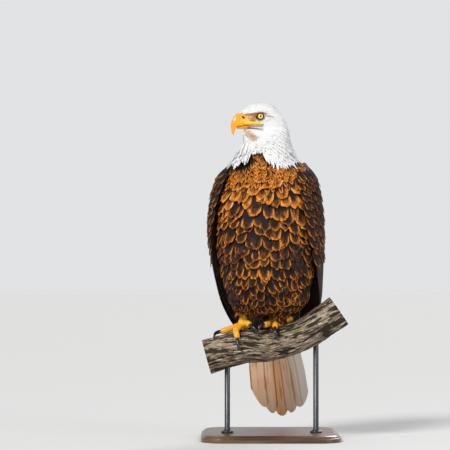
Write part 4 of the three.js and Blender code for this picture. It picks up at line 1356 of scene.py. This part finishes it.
def browTubes():
    # a fleshy ridge from the bill's root back over the eye, under the first feathers of the brow
    p = browPlan
    knots = np.linspace(0, len(p["line"]) - 1, p["rings"])
    forward, up, out, half = spline(p["line"], knots).T
    side = sideOf(forward, up + 2.0)
    side = np.convolve(np.pad(side, 6, mode="edge"), np.ones(13) / 13, "valid")
    shade = np.tile(0.2 + 0.12 * knots[:, None], (1, p["around"]))
    tubes = []
    for sign in (-1, 1):
        middles = headPoint(sign * (side + out), forward, up)
        points = sweep(middles, *upright(p["rings"]), half * 1.3, half, p["around"])
        tubes.append((points, {"shade": shade}))
    return tubes


dress(joinTubes("brow_ridge", browTubes()), softLook("browSkin", browPlan), "bill_horn")
dress(joinTubes("gape", gapeTubes()), softLook("gapeSkin", gapePlan), "bill_horn")
print("bill made")


def eyeFrame(side):
    # the eye's middle, its look direction from left, forward and up shares, and two directions across that
    left, forward, up = eyePlan["aim"]
    aim = unit(side * left * headLeft - forward * headBack + np.array([0, 0, up]))
    over = unit(np.cross(np.array([0, 0, 1.0]), aim))
    middle = headPoint(side * bird["eyeSide"], -eyePlan["back"], -eyePlan["drop"])
    return middle, aim, over, np.cross(aim, over)


def eyeTube(side):
    # a ball about the aim axis, bulged by the cornea over the iris: radius + cornea cos^2 inside the iris
    middle, aim, over, upward = eyeFrame(side)
    polar = np.linspace(0.02, np.pi - 0.02, 72)[:, None]
    turn = np.linspace(0, 2 * np.pi, 72, endpoint=False)[None, :]
    offAxis = bird["eyeRadius"] * np.sin(polar) + 0 * turn
    bulge = eyePlan["cornea"] * np.clip(1 - (offAxis / eyePlan["iris"]) ** 2, 0, 1) * (polar < np.pi / 2)
    radius = bird["eyeRadius"] - 0.5 + bulge
    points = (radius * np.cos(polar))[..., None] * aim
    points = points + (radius * np.sin(polar) * np.cos(turn))[..., None] * over
    points = points + (radius * np.sin(polar) * np.sin(turn))[..., None] * upward
    front = np.where(polar < np.pi / 2, offAxis, 20.0)
    spokes = np.broadcast_arrays(np.cos(turn) * 9, np.sin(turn) * 9, offAxis * 0.35)
    streak = noise(np.stack(spokes, -1), 31)
    return middle + points, {"eyeMarks": np.stack([front, streak, 0 * front], -1)}


def eyeLook():
    # black pupil, pale yellow iris with a darker ring and fine spokes, black beyond it for the eye's dark rim
    # and painted shade inside its opening
    material, tree, shader = newMaterial("eagleEye", 0.06, Coat_Weight=1.0, Coat_Roughness=0.02)
    off, streak, _ = split(tree, vectorOf(tree, "eyeMarks"))
    iris = blend(tree, ramp(tree, streak, -0.5, 0.6), (0.93, 0.62, 0.03), (0.98, 0.78, 0.16))
    iris = blend(tree, ramp(tree, off, 4.0, 2.7, 0.0, 0.55), iris, (0.75, 0.36, 0.01))
    iris = blend(tree, ramp(tree, off, 5.8, 6.7, 0.0, 0.8), iris, (0.45, 0.20, 0.01))
    colour = blend(tree, ramp(tree, off, 2.75, 2.45), iris, (0.003, 0.003, 0.004))
    # black beyond the iris: the eye's dark rim, with painted shade from the lids and brow
    colour = blend(tree, ramp(tree, off, 6.6, 6.9), colour, (0.010, 0.007, 0.006))
    finishMaterial(tree, shader, colour)
    return material


lidPlan = {
    "rings": ((9.0, 0.9, 0.0, 1.2), (10.3, 1.1, -0.2, 0.45)),  # rim and lid: radius, thickness, lift, shade
    "pale": (0.80, 0.42, 0.05), "deep": (0.62, 0.25, 0.03), "dark": (0.012, 0.008, 0.007),
}


def lidTubes():
    # two rings about each eye, drawn out at the front corner: a thin dark rim, dark lid edge with painted
    # shade where the lid meets the eye, and a fleshy orange lid beyond
    tubes = []
    turn = np.linspace(0, 2 * np.pi, 72, endpoint=False)
    k = np.linspace(0, 2 * np.pi, 16, endpoint=False)
    for side in (-1, 1):
        middle, aim, over, upward = eyeFrame(side)
        forwardTurn = np.cos(turn) * np.sign(over @ -headBack)
        corner = np.clip(forwardTurn * 0.94 - np.sin(turn) * 0.34, 0, 1) ** 10
        squeeze = 1 - 0.10 * ease(0.2, 1.0, np.sin(turn))  # the brow flattens the top of the opening
        out = (np.cos(turn)[:, None] * over + np.sin(turn)[:, None] * upward)[:, None]
        for radius, thick, lift, shade in lidPlan["rings"]:
            reach = radius * squeeze + 2.4 * corner
            height = np.sqrt(np.maximum(12.0**2 - reach**2, 1)) + lift
            swell = thick * (1 + 0.9 * corner[:, None])
            points = middle + height[:, None, None] * aim + reach[:, None, None] * out
            points = points + (swell * np.cos(k))[..., None] * out + (swell * np.sin(k))[..., None] * aim
            tubes.append((points, shade))
    return tubes


def closedRings(name, tubes):
    # rings joined end to end, so a tube has no caps
    quads, points, shades, start = [], [], [], 0
    for ringPoints, shade in tubes:
        n, m = ringPoints.shape[:2]
        i, k = np.meshgrid(np.arange(n), np.arange(m), indexing="ij")
        after, beside = (i + 1) % n, (k + 1) % m
        corners = np.stack([i * m + k, after * m + k, after * m + beside, i * m + beside], -1)
        quads.append(corners.reshape(-1, 4) + start)
        points.append(ringPoints.reshape(-1, 3))
        shades.append(np.full(n * m, shade))
        start += n * m
    points, quads, shades = (np.concatenate(v) for v in (points, quads, shades))
    return makeMesh(name, points, quads, (), {"shade": shades})


eyeMaterial = eyeLook()
for name, side in (("right", -1), ("left", 1)):
    eye = dress(joinTubes("eye_" + name + "_ball", [eyeTube(side)]), eyeMaterial, "eye")
    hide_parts("eye_" + name)
dress(closedRings("lids", lidTubes()), softLook("lidSkin", lidPlan), "bill_horn")
print("eyes made")

perchPlan = {
    "line": [[-152, 0, 214], [-57, 0, 240], [13, 0, 244], [91, 0, 269], [143, 0, 300], [192, 0, 334]],
    "radii": [47, 46, 45, 42, 43, 44, 44], "rings": 560, "around": 168, "endRings": 14,
}
perchFine = spline(perchPlan["line"], np.linspace(0, len(perchPlan["line"]) - 1, 400))
perchLength = np.concatenate([[0], np.cumsum(np.linalg.norm(np.diff(perchFine, axis=0), axis=-1))])


def perchFrame(share):
    # the branch's middle at a share of its length, the direction up across it, and its radius
    reach = share * perchLength[-1]
    slope = np.gradient(perchFine, axis=0)
    middle = np.stack([np.interp(reach, perchLength, perchFine[:, k]) for k in range(3)], -1)
    ahead = unit(np.stack([np.interp(reach, perchLength, slope[:, k]) for k in range(3)], -1))
    upward = np.stack([-ahead[..., 2], 0 * ahead[..., 0], ahead[..., 0]], -1)
    radii = perchPlan["radii"]
    return middle, upward, np.interp(share * (len(radii) - 1), np.arange(len(radii)), radii)


def perchSurface(share, turn, lift):
    # turn runs from the front over the top: middle + (radius + lift) (front cos(turn) + up sin(turn))
    share, turn, lift = np.broadcast_arrays(share, turn, lift)
    middle, upward, radius = perchFrame(share)
    front = np.cos(turn)[..., None] * np.array([0, -1.0, 0])
    return middle + (radius + lift)[..., None] * (front + np.sin(turn)[..., None] * upward)


def overPerch(row):
    # a row holds x, degrees round from the front, and height; gives that point and its way out of the branch
    x, degrees, height = row
    shares = np.clip(np.linspace(-0.02, 1.02, 600), 0, 1)
    points = perchSurface(shares, np.radians(degrees), height)
    share = np.interp(x, points[:, 0], shares)
    point = perchSurface(np.array([share]), np.radians(degrees), height)[0]
    return point, point - perchFrame(np.array([share]))[0][0]


def barkRelief(share, turn):
    # lengthwise ridges: three noises stretched along the branch, summed and steepened between -0.3 and 0.35
    along = share * 420
    turn = turn + 0.9 * share
    circle = np.stack([np.cos(turn) * 44, np.sin(turn) * 44], -1)
    wander = 4 * noise(np.stack([along / 40, circle[..., 0] / 18, circle[..., 1] / 18], -1), 41)

    def streaks(length, width, seed):
        places = [along / length, (circle[..., 0] + wander) / width, (circle[..., 1] + wander) / width]
        return noise(np.stack(places, -1), seed)

    folds = 0.7 * streaks(46, 5.6, 42) + 0.6 * streaks(22, 3.2, 43) + 0.2 * streaks(9, 2.4, 44)
    ridge = ease(-0.30, 0.35, folds)
    crack = ease(0.55, 0.8, streaks(5.5, 16, 47))
    lumps = noise(np.stack([along / 60, circle[..., 0] / 40, circle[..., 1] / 40], -1), 45)
    height = 0.9 * lumps + 2.6 * ridge + 0.5 * streaks(8, 2.4, 44) - 0.8 * crack * ridge - 1.6
    return height, 1 - ridge, lumps, np.stack([along, circle[..., 0], circle[..., 1]], -1) / 1000


def inRows(grids):
    return np.concatenate([grid.reshape(-1, 3) for grid in grids])


def branchPiece():
    # the perch's surface raised by the relief, which fades out at the two sawn ends
    rings, around, endRings = perchPlan["rings"], perchPlan["around"], perchPlan["endRings"]
    turn = np.linspace(0, 2 * np.pi, around, endpoint=False)
    share, turn = np.broadcast_arrays(np.linspace(0, 1, rings)[:, None], turn[None, :])
    height, fissure, lumps, barkPlace = barkRelief(share, turn)
    hold = ease(0.0, 0.012, share) * ease(1.0, 0.988, share)
    points = perchSurface(share, turn, (height - 1.0) * hold - 1.2)
    patches = noise(np.stack([share * 9, np.cos(turn) * 2, np.sin(turn) * 2], -1), 46)
    moss = ease(0.1, 0.7, patches + 0.35 * np.sin(turn - 0.6))
    quads, _ = tubeFaces(1, rings, around)
    places, marks, barkPlaces = [points], [np.stack([fissure, moss, lumps], -1)], [barkPlace]
    groups, caps, start = [quads], [], rings * around
    for end, edge in enumerate((points[0], points[-1])):
        # rings that shrink to the branch's middle; a moss of -1 marks sawn wood
        middle = perchFrame(np.array([float(end)]))[0][0]
        disc = middle + (edge - middle) * np.linspace(1, 0.02, endRings)[:, None, None]
        reach = np.linalg.norm(disc - disc[-1].mean(0), axis=-1)
        quads, tips = tubeFaces(1, endRings, around)
        groups.append((quads if end else quads[:, ::-1]) + start)
        caps.append((tips[1] if end else tips[1][:, ::-1]) + start)
        places.append(disc)
        marks.append(np.stack([0 * reach, 0 * reach - 1, reach], -1))
        barkPlaces.append(disc / 1000)
        start += endRings * around
    values = {"barkMarks": inRows(marks), "barkPlace": inRows(barkPlaces)}
    return makeMesh("branch", inRows(places), np.concatenate(groups), caps, values)


def barkLook():
    # grey-brown ridges with pale crests, dark furrows of darker bark and painted shade, moss-green patches on
    # top; sawn ends show growth rings
    material, tree, shader = newMaterial("branchBark", 0.9, Specular_IOR_Level=0.2)
    fissure, moss, extra = split(tree, vectorOf(tree, "barkMarks"))
    place = vectorOf(tree, "barkPlace")
    coarse = grain(tree, place, 40.0, 4.0, (0.35, 1, 1))
    fine = grain(tree, place, 360.0, 5.0, (0.14, 1, 1), 0.65)
    plate = blend(tree, ramp(tree, coarse, 0.35, 0.65), (0.125, 0.085, 0.055), (0.300, 0.235, 0.165))
    plate = blend(tree, ramp(tree, fine, 0.50, 0.66), plate, (0.58, 0.49, 0.37))
    plate = blend(tree, ramp(tree, fine, 0.46, 0.34, 0.0, 0.9), plate, (0.034, 0.022, 0.014))
    green = blend(tree, ramp(tree, fine, 0.4, 0.6), (0.060, 0.056, 0.010), (0.26, 0.23, 0.05))
    mossShare = times(tree, ramp(tree, moss, 0.2, 0.8, 0.0, 0.65), ramp(tree, coarse, 0.40, 0.56))
    colour = blend(tree, mossShare, plate, green)
    # the furrows: darker bark and painted shade, near black where the relief sinks
    colour = blend(tree, ramp(tree, fissure, 0.35, 0.95, 0.0, 0.93), colour, (0.018, 0.012, 0.008))
    rings = calc(tree, "SINE", plus(tree, times(tree, extra, 1.9), times(tree, coarse, 5.0)))
    sawn = blend(tree, ramp(tree, rings, -0.4, 0.9), (0.40, 0.25, 0.13), (0.62, 0.44, 0.26))
    sawn = blend(tree, ramp(tree, extra, 39.0, 42.0), sawn, (0.06, 0.04, 0.028))
    colour = blend(tree, calc(tree, "LESS_THAN", moss, -0.5), colour, sawn)
    finishMaterial(tree, shader, colour, None, fine, 0.8, 0.0022)
    return material


branch = dress(branchPiece(), barkLook(), "bark")
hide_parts("perch")
print("branch made")

footPlan = {
    "toeRadii": [9, 8.4, 8, 7.9, 7.4, 5.4], "clawRadii": [4.6, 5, 4.3, 3, 0.5],
    "scutes": 0.26,  # scutes to a millimetre
    "palm": [  # outward, back, up, half width, half depth
        [0, 0, 5, 11, 12], [0, 0, 14, 14, 15], [0, 1, 24, 12, 13], [0, 3, 36, 8.5, 8.5], [1, 5, 48, 7.8, 7.8],
        [2, 9, 62, 9, 9], [3, 12, 76, 10, 10],
    ],
    "palmRings": 120, "palmAround": 48,
}


def gripTube(places, radii, rings, around, relief, closeEnds):
    # rings along a smooth line over the branch; radius falls to nothing at both ends by sqrt(1 - (1 - x)^2)
    found = [overPerch(row) for row in places]
    line, outs = np.array([p for p, _ in found]), np.array([o for _, o in found])
    s = np.linspace(0, 1, rings)
    knots = s * (len(places) - 1)
    middles, out = spline(line, knots), spline(outs, knots)
    ahead = unit(np.gradient(middles, axis=0))
    across = unit(np.cross(ahead, out))
    along = np.cross(across, ahead)
    radius = spline(np.array(radii, float)[:, None], s * (len(radii) - 1))[:, 0]
    for x in (s / closeEnds[0], (1 - s) / closeEnds[1]):
        radius = radius * np.sqrt(np.clip(1 - (1 - np.clip(x, 0, 1)) ** 2, 0.0004, 1))
    length = np.linalg.norm(np.diff(middles, axis=0), axis=-1).sum()
    turn = np.linspace(0, 2 * np.pi, around, endpoint=False)
    swell, shade = relief(s, turn, length)
    points = sweep(middles, across, along, radius, radius, around, swell)
    flipped = np.einsum("ij,ij->i", np.cross(across, along), ahead).mean() > 0  # as sweep does
    return points, {"shade": shade[:, ::-1] if flipped else shade}


def toeRelief(s, turn, length):
    # scutes as overlapping bands over the top, round pads below; shade is high in the creases between them
    # and 0.35 over the underside, painted there as shade
    band = (s[:, None] * np.round(length * footPlan["scutes"])) % 1
    top = ease(-0.15, 0.55, np.sin(turn))[None, :]
    pads = np.abs(np.sin(np.pi * s * np.round(length / 15)))[:, None] ** 0.7
    pads = pads * ease(0.2, 0.9, -np.sin(turn))[None, :]
    swell = 0.95 + 0.075 * (1 - band**1.5) * top + 0.11 * pads
    return swell, ease(0.72, 1.0, band) * top + (1 - top) * 0.35


def clawRelief(s, turn, length):
    # narrower sides: 1 - 0.12 |cos(turn)|
    swell = 1 - 0.12 * np.abs(np.cos(turn))[None, :] + 0 * s[:, None]
    return swell, s[:, None] + 0 * swell


def palmTube(leg):
    # an upright tube from the branch's top into the thigh's feathers, with bands of scutes down its front
    top, _ = overPerch([leg["x"], 90, 0])
    rings, around = footPlan["palmRings"], footPlan["palmAround"]
    s = np.linspace(0, 1, rings)
    row = spline(footPlan["palm"], s * (len(footPlan["palm"]) - 1))
    middles = top + np.stack([row[:, 0] * leg["side"], row[:, 1], row[:, 2]], -1)
    turn = np.linspace(0, 2 * np.pi, around, endpoint=False)
    band = (s[:, None] * 17) % 1
    front = ease(0.1, 0.7, -np.sin(turn))[None, :]
    swell = 0.97 + 0.05 * (1 - band**1.5) * front
    across, along = np.tile([1.0, 0, 0], (rings, 1)), np.tile([0, 1.0, 0], (rings, 1))
    close = np.sqrt(np.clip(1 - (1 - np.clip(s / 0.08, 0, 1)) ** 2, 0.001, 1))
    points = sweep(middles, across, along, row[:, 3] * close, row[:, 4] * close, around, swell)
    # painted shade in the creases between the scutes down the front
    crease = ease(0.72, 1.0, band) * front + 0.2
    return points, {"shade": crease[:, ::-1]}


def scaleLook():
    # yellow scales with orange creases between small cells; painted shade makes the folds between scutes and
    # the toes' undersides darker and redder
    material, tree, shader = newMaterial("footScales", 0.36, Coat_Weight=0.12)
    shade = valueOf(tree, "shade")
    place = objectPlace(tree)
    patch = grain(tree, place, 70.0, 3.0)
    small = cells(tree, place, 420.0)
    colour = blend(tree, ramp(tree, patch, 0.38, 0.66), (0.93, 0.52, 0.015), (0.89, 0.35, 0.012))
    colour = blend(tree, ramp(tree, small, 0.10, 0.02, 0.0, 0.55), colour, (0.70, 0.24, 0.01))
    # painted shade from the shade attribute: the folds between scutes and the undersides
    colour = blend(tree, ramp(tree, shade, 0.25, 0.95, 0.0, 0.85), colour, (0.42, 0.10, 0.008))
    height = plus(tree, ramp(tree, small, 0.0, 0.12), times(tree, patch, 0.3))
    finishMaterial(tree, shader, colour, ramp(tree, small, 0.0, 0.2, 0.6, 0.32), height, 0.5, 0.0007)
    return material


def clawLook():
    # black horn, a little brown at the root, with fine paler flecks
    material, tree, shader = newMaterial("clawHorn", 0.22, Coat_Weight=0.35, Coat_Roughness=0.12)
    shade = valueOf(tree, "shade")
    flecks = grain(tree, objectPlace(tree), 240.0, 3.0)
    colour = blend(tree, ramp(tree, shade, 0.25, 0.0), (0.010, 0.011, 0.014), (0.060, 0.036, 0.024))
    colour = blend(tree, ramp(tree, flecks, 0.5, 0.75, 0.0, 0.4), colour, (0.040, 0.046, 0.056))
    finishMaterial(tree, shader, colour, ramp(tree, flecks, 0.3, 0.7, 0.16, 0.34), flecks, 0.15, 0.0004)
    return material


scaleMaterial, clawMaterial = scaleLook(), clawLook()
for name, leg in legs.items():
    tubes = [palmTube(leg)]
    for places in leg["toes"].values():
        tubes.append(gripTube(places, footPlan["toeRadii"], 110, 40, toeRelief, (0.12, 0.16)))
    foot = dress(joinTubes("foot_" + name + "_scales", tubes), scaleMaterial, "yellow_scale")
    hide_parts("foot_" + name, "shank_" + name)
    for toe, places in leg["claws"].items():
        tube = gripTube(places, footPlan["clawRadii"], 60, 28, clawRelief, (0.08, 0.02))
        claw = dress(joinTubes("claw_" + name + "_" + toe + "_horn", [tube]), clawMaterial, "claw")
        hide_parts("claw_" + name + "_" + toe)
print("feet made")


def rodTube(side):
    # a turned rod with a moulded foot: rows of radius and height, turned about an upright line
    low, high = (1000 * v.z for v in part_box("stand_rod_" + side))
    r, x = rodPlan["radius"], rodPlan[side]
    profile = [
        [0.1, low], [r, low], [r, 17.9], [14, 18.1], [15.5, 19], [16, 20.5], [15.5, 22], [13, 23.2], [10, 24],
        [8.6, 25.5], [8, 28], [r, 28.6], [r, high - 4], [r - 1, high - 1.2], [r - 3, high], [0.1, high],
    ]
    radius, height = np.array(profile, float).T[..., None]
    turn = np.linspace(0, 2 * np.pi, 64, endpoint=False)[::-1]
    tube = np.stack([x + radius * np.cos(turn), radius * np.sin(turn), height + 0 * turn], -1)
    return tube, {"shade": 0 * tube[..., 0]}


def steelLook():
    # dark lacquered steel with faint turning marks
    material, tree, shader = newMaterial("standSteel", 0.38, Metallic=0.85)
    marks = grain(tree, objectPlace(tree), 30.0, 3.0, (1, 1, 30.0))
    colour = blend(tree, ramp(tree, marks, 0.3, 0.7), (0.055, 0.057, 0.062), (0.10, 0.102, 0.108))
    finishMaterial(tree, shader, colour, ramp(tree, marks, 0.3, 0.7, 0.30, 0.46), marks, 0.12, 0.0004)
    return material


def basePiece():
    # a round-cornered outline carried along a moulded profile of inset and height, closed above and below
    low, high = (np.array(v) * 1000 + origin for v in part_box("stand_base"))
    middle, half = (low + high) / 2, (high - low) / 2
    corner, top = 60.0, high[2]
    profile = [
        [168, 0], [100, 0], [40, 0], [2.0, 0], [0.6, 0.6], [0, 2.0], [0, 8.5], [0.3, 9.6], [1.2, 10.2],
        [3.5, 10.5], [4.4, 11.0], [5.2, 12.6], [7.2, 14.8], [10.0, 16.4], [12.6, 17.0], [13.4, 17.3],
        [14.2, top - 0.2], [16, top], [24, top], [60, top], [100, top], [140, top], [168, top],
    ]
    turn = np.linspace(0, 2 * np.pi, 240, endpoint=False)[::-1]
    c, s = np.cos(turn), np.sin(turn)
    rows = []
    for inset, z in profile:
        reach = np.maximum(half[:2] - inset, 1.5)
        r = np.clip(corner - inset, 1.0, reach.min() - 0.2)
        x = middle[0] + np.sign(c) * (reach[0] - r) * np.minimum(1, np.abs(c) * 8) + r * c
        y = middle[1] + np.sign(s) * (reach[1] - r) * np.minimum(1, np.abs(s) * 8) + r * s
        rows.append(np.stack([x, y, 0 * x + z], -1))
    tube = np.array(rows)
    return tube, {"shade": 0 * tube[..., 0]}


def woodLook():
    # dark varnished walnut: grain stretched along X, pores as short dark dashes
    material, tree, shader = newMaterial("baseWood", 0.34, Coat_Weight=0.4, Coat_Roughness=0.15)
    place = objectPlace(tree)
    bands = grain(tree, place, 16.0, 4.0, (0.25, 2.2, 2.2), 0.55)
    pores = grain(tree, place, 300.0, 2.0, (0.06, 1, 1), 0.6)
    colour = blend(tree, ramp(tree, bands, 0.36, 0.64), (0.060, 0.028, 0.014), (0.165, 0.078, 0.036))
    colour = blend(tree, ramp(tree, pores, 0.56, 0.70, 0.0, 0.7), colour, (0.022, 0.011, 0.006))
    finishMaterial(tree, shader, colour, ramp(tree, bands, 0.3, 0.7, 0.28, 0.40), pores, 0.12, 0.0004)
    return material


steel = steelLook()
for side in ("right", "left"):
    rod = dress(joinTubes("stand_rod_" + side + "_turned", [rodTube(side)]), steel, "rod")
    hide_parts("stand_rod_" + side)
base = dress(joinTubes("stand_base_moulded", [basePiece()]), woodLook(), "base_wood")
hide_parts("stand_base")
print("stand made")

studio = {
    "reach": 40.0, "floor": (0.66, 0.66, 0.66), "floorTooth": (0.63, 0.63, 0.63),
    "eye": (-104.0, -5500.0, 440.0), "target": (-104.0, 0.0, 557.0), "field": 1170.0,
    "sky": (0.88, 0.89, 0.91), "skyStrength": 0.55, "seen": 0.86,
}


def floorPiece():
    # a flat disc of rings, each radius a power 1.5 of its share of the reach
    rings, around = 12, 96
    radius = studio["reach"] * 1000 * np.linspace(0.001, 1, rings) ** 1.5
    turn = np.linspace(0, 2 * np.pi, around, endpoint=False)[::-1]
    x = radius[::-1, None] * np.cos(turn)
    y = radius[::-1, None] * np.sin(turn)
    points = np.stack([x, y, 0 * x - 0.3], -1)
    quads, caps = tubeFaces(1, rings, around)
    return makeMesh("studio_floor", points, quads, caps[1:])


def paperLook():
    # matt paper with a barely visible tooth
    material, tree, shader = newMaterial("studioPaper", 0.9)
    tooth = grain(tree, objectPlace(tree), 60.0, 2.0)
    colour = blend(tree, ramp(tree, tooth, 0.3, 0.7, 0.0, 0.4), studio["floor"], studio["floorTooth"])
    finishMaterial(tree, shader, colour)
    return material


floor = floorPiece()
floor.data.materials.append(paperLook())


def addLight(name, kind, place, target, size, power, colour):
    # size is a width in metres for a panel and an angle in radians for a far lamp
    data = bpy.data.lights.new(name, kind)
    data.energy, data.color = power, colour
    if kind == "AREA":
        data.shape, data.size = "DISK", size
    else:
        data.angle = size
    lamp = bpy.data.objects.new(name, data)
    lamp.location = Vector(toMetres(np.array(place)))
    aim = Vector(toMetres(np.array(target))) - lamp.location
    lamp.rotation_euler = aim.to_track_quat("-Z", "Y").to_euler()
    bpy.context.scene.collection.objects.link(lamp)


addLight("key", "SUN", (-1300, -1900, 2300), (0, 0, 560), 0.30, 2.5, (1.0, 0.98, 0.95))
addLight("fill", "AREA", (2200, -1800, 1200), (0, 0, 500), 1.8, 22, (0.93, 0.96, 1.0))
addLight("rim", "SUN", (900, 2300, 2200), (0, 0, 600), 0.40, 0.9, (1.0, 0.98, 0.96))

world = bpy.data.worlds.new("studioAir")
world.use_nodes = True
air = world.node_tree.nodes["Background"]
air.inputs["Color"].default_value = (*studio["sky"], 1)
seen = addNode(world.node_tree, "LightPath")  # the backdrop is seen paler than the light it gives
levels = {"Value": seen, "To Min": studio["skyStrength"], "To Max": studio["seen"]}
strength = addNode(world.node_tree, "MapRange", levels)
world.node_tree.links.new(strength, air.inputs["Strength"])
bpy.context.scene.world = world
bpy.context.scene.view_settings.view_transform = "Standard"

camera = bpy.data.objects.new("camera", bpy.data.cameras.new("camera"))
bpy.context.scene.collection.objects.link(camera)
eyePlace, target = (Vector(toMetres(np.array(studio[k]))) for k in ("eye", "target"))
camera.location = eyePlace
camera.rotation_euler = (target - eyePlace).to_track_quat("-Z", "Y").to_euler()
camera.data.sensor_width = 36.0
camera.data.lens = 36.0 * (target - eyePlace).length * 1000 / studio["field"]
camera.data.clip_end = 60.0
bpy.context.scene.camera = camera
print("studio ready")
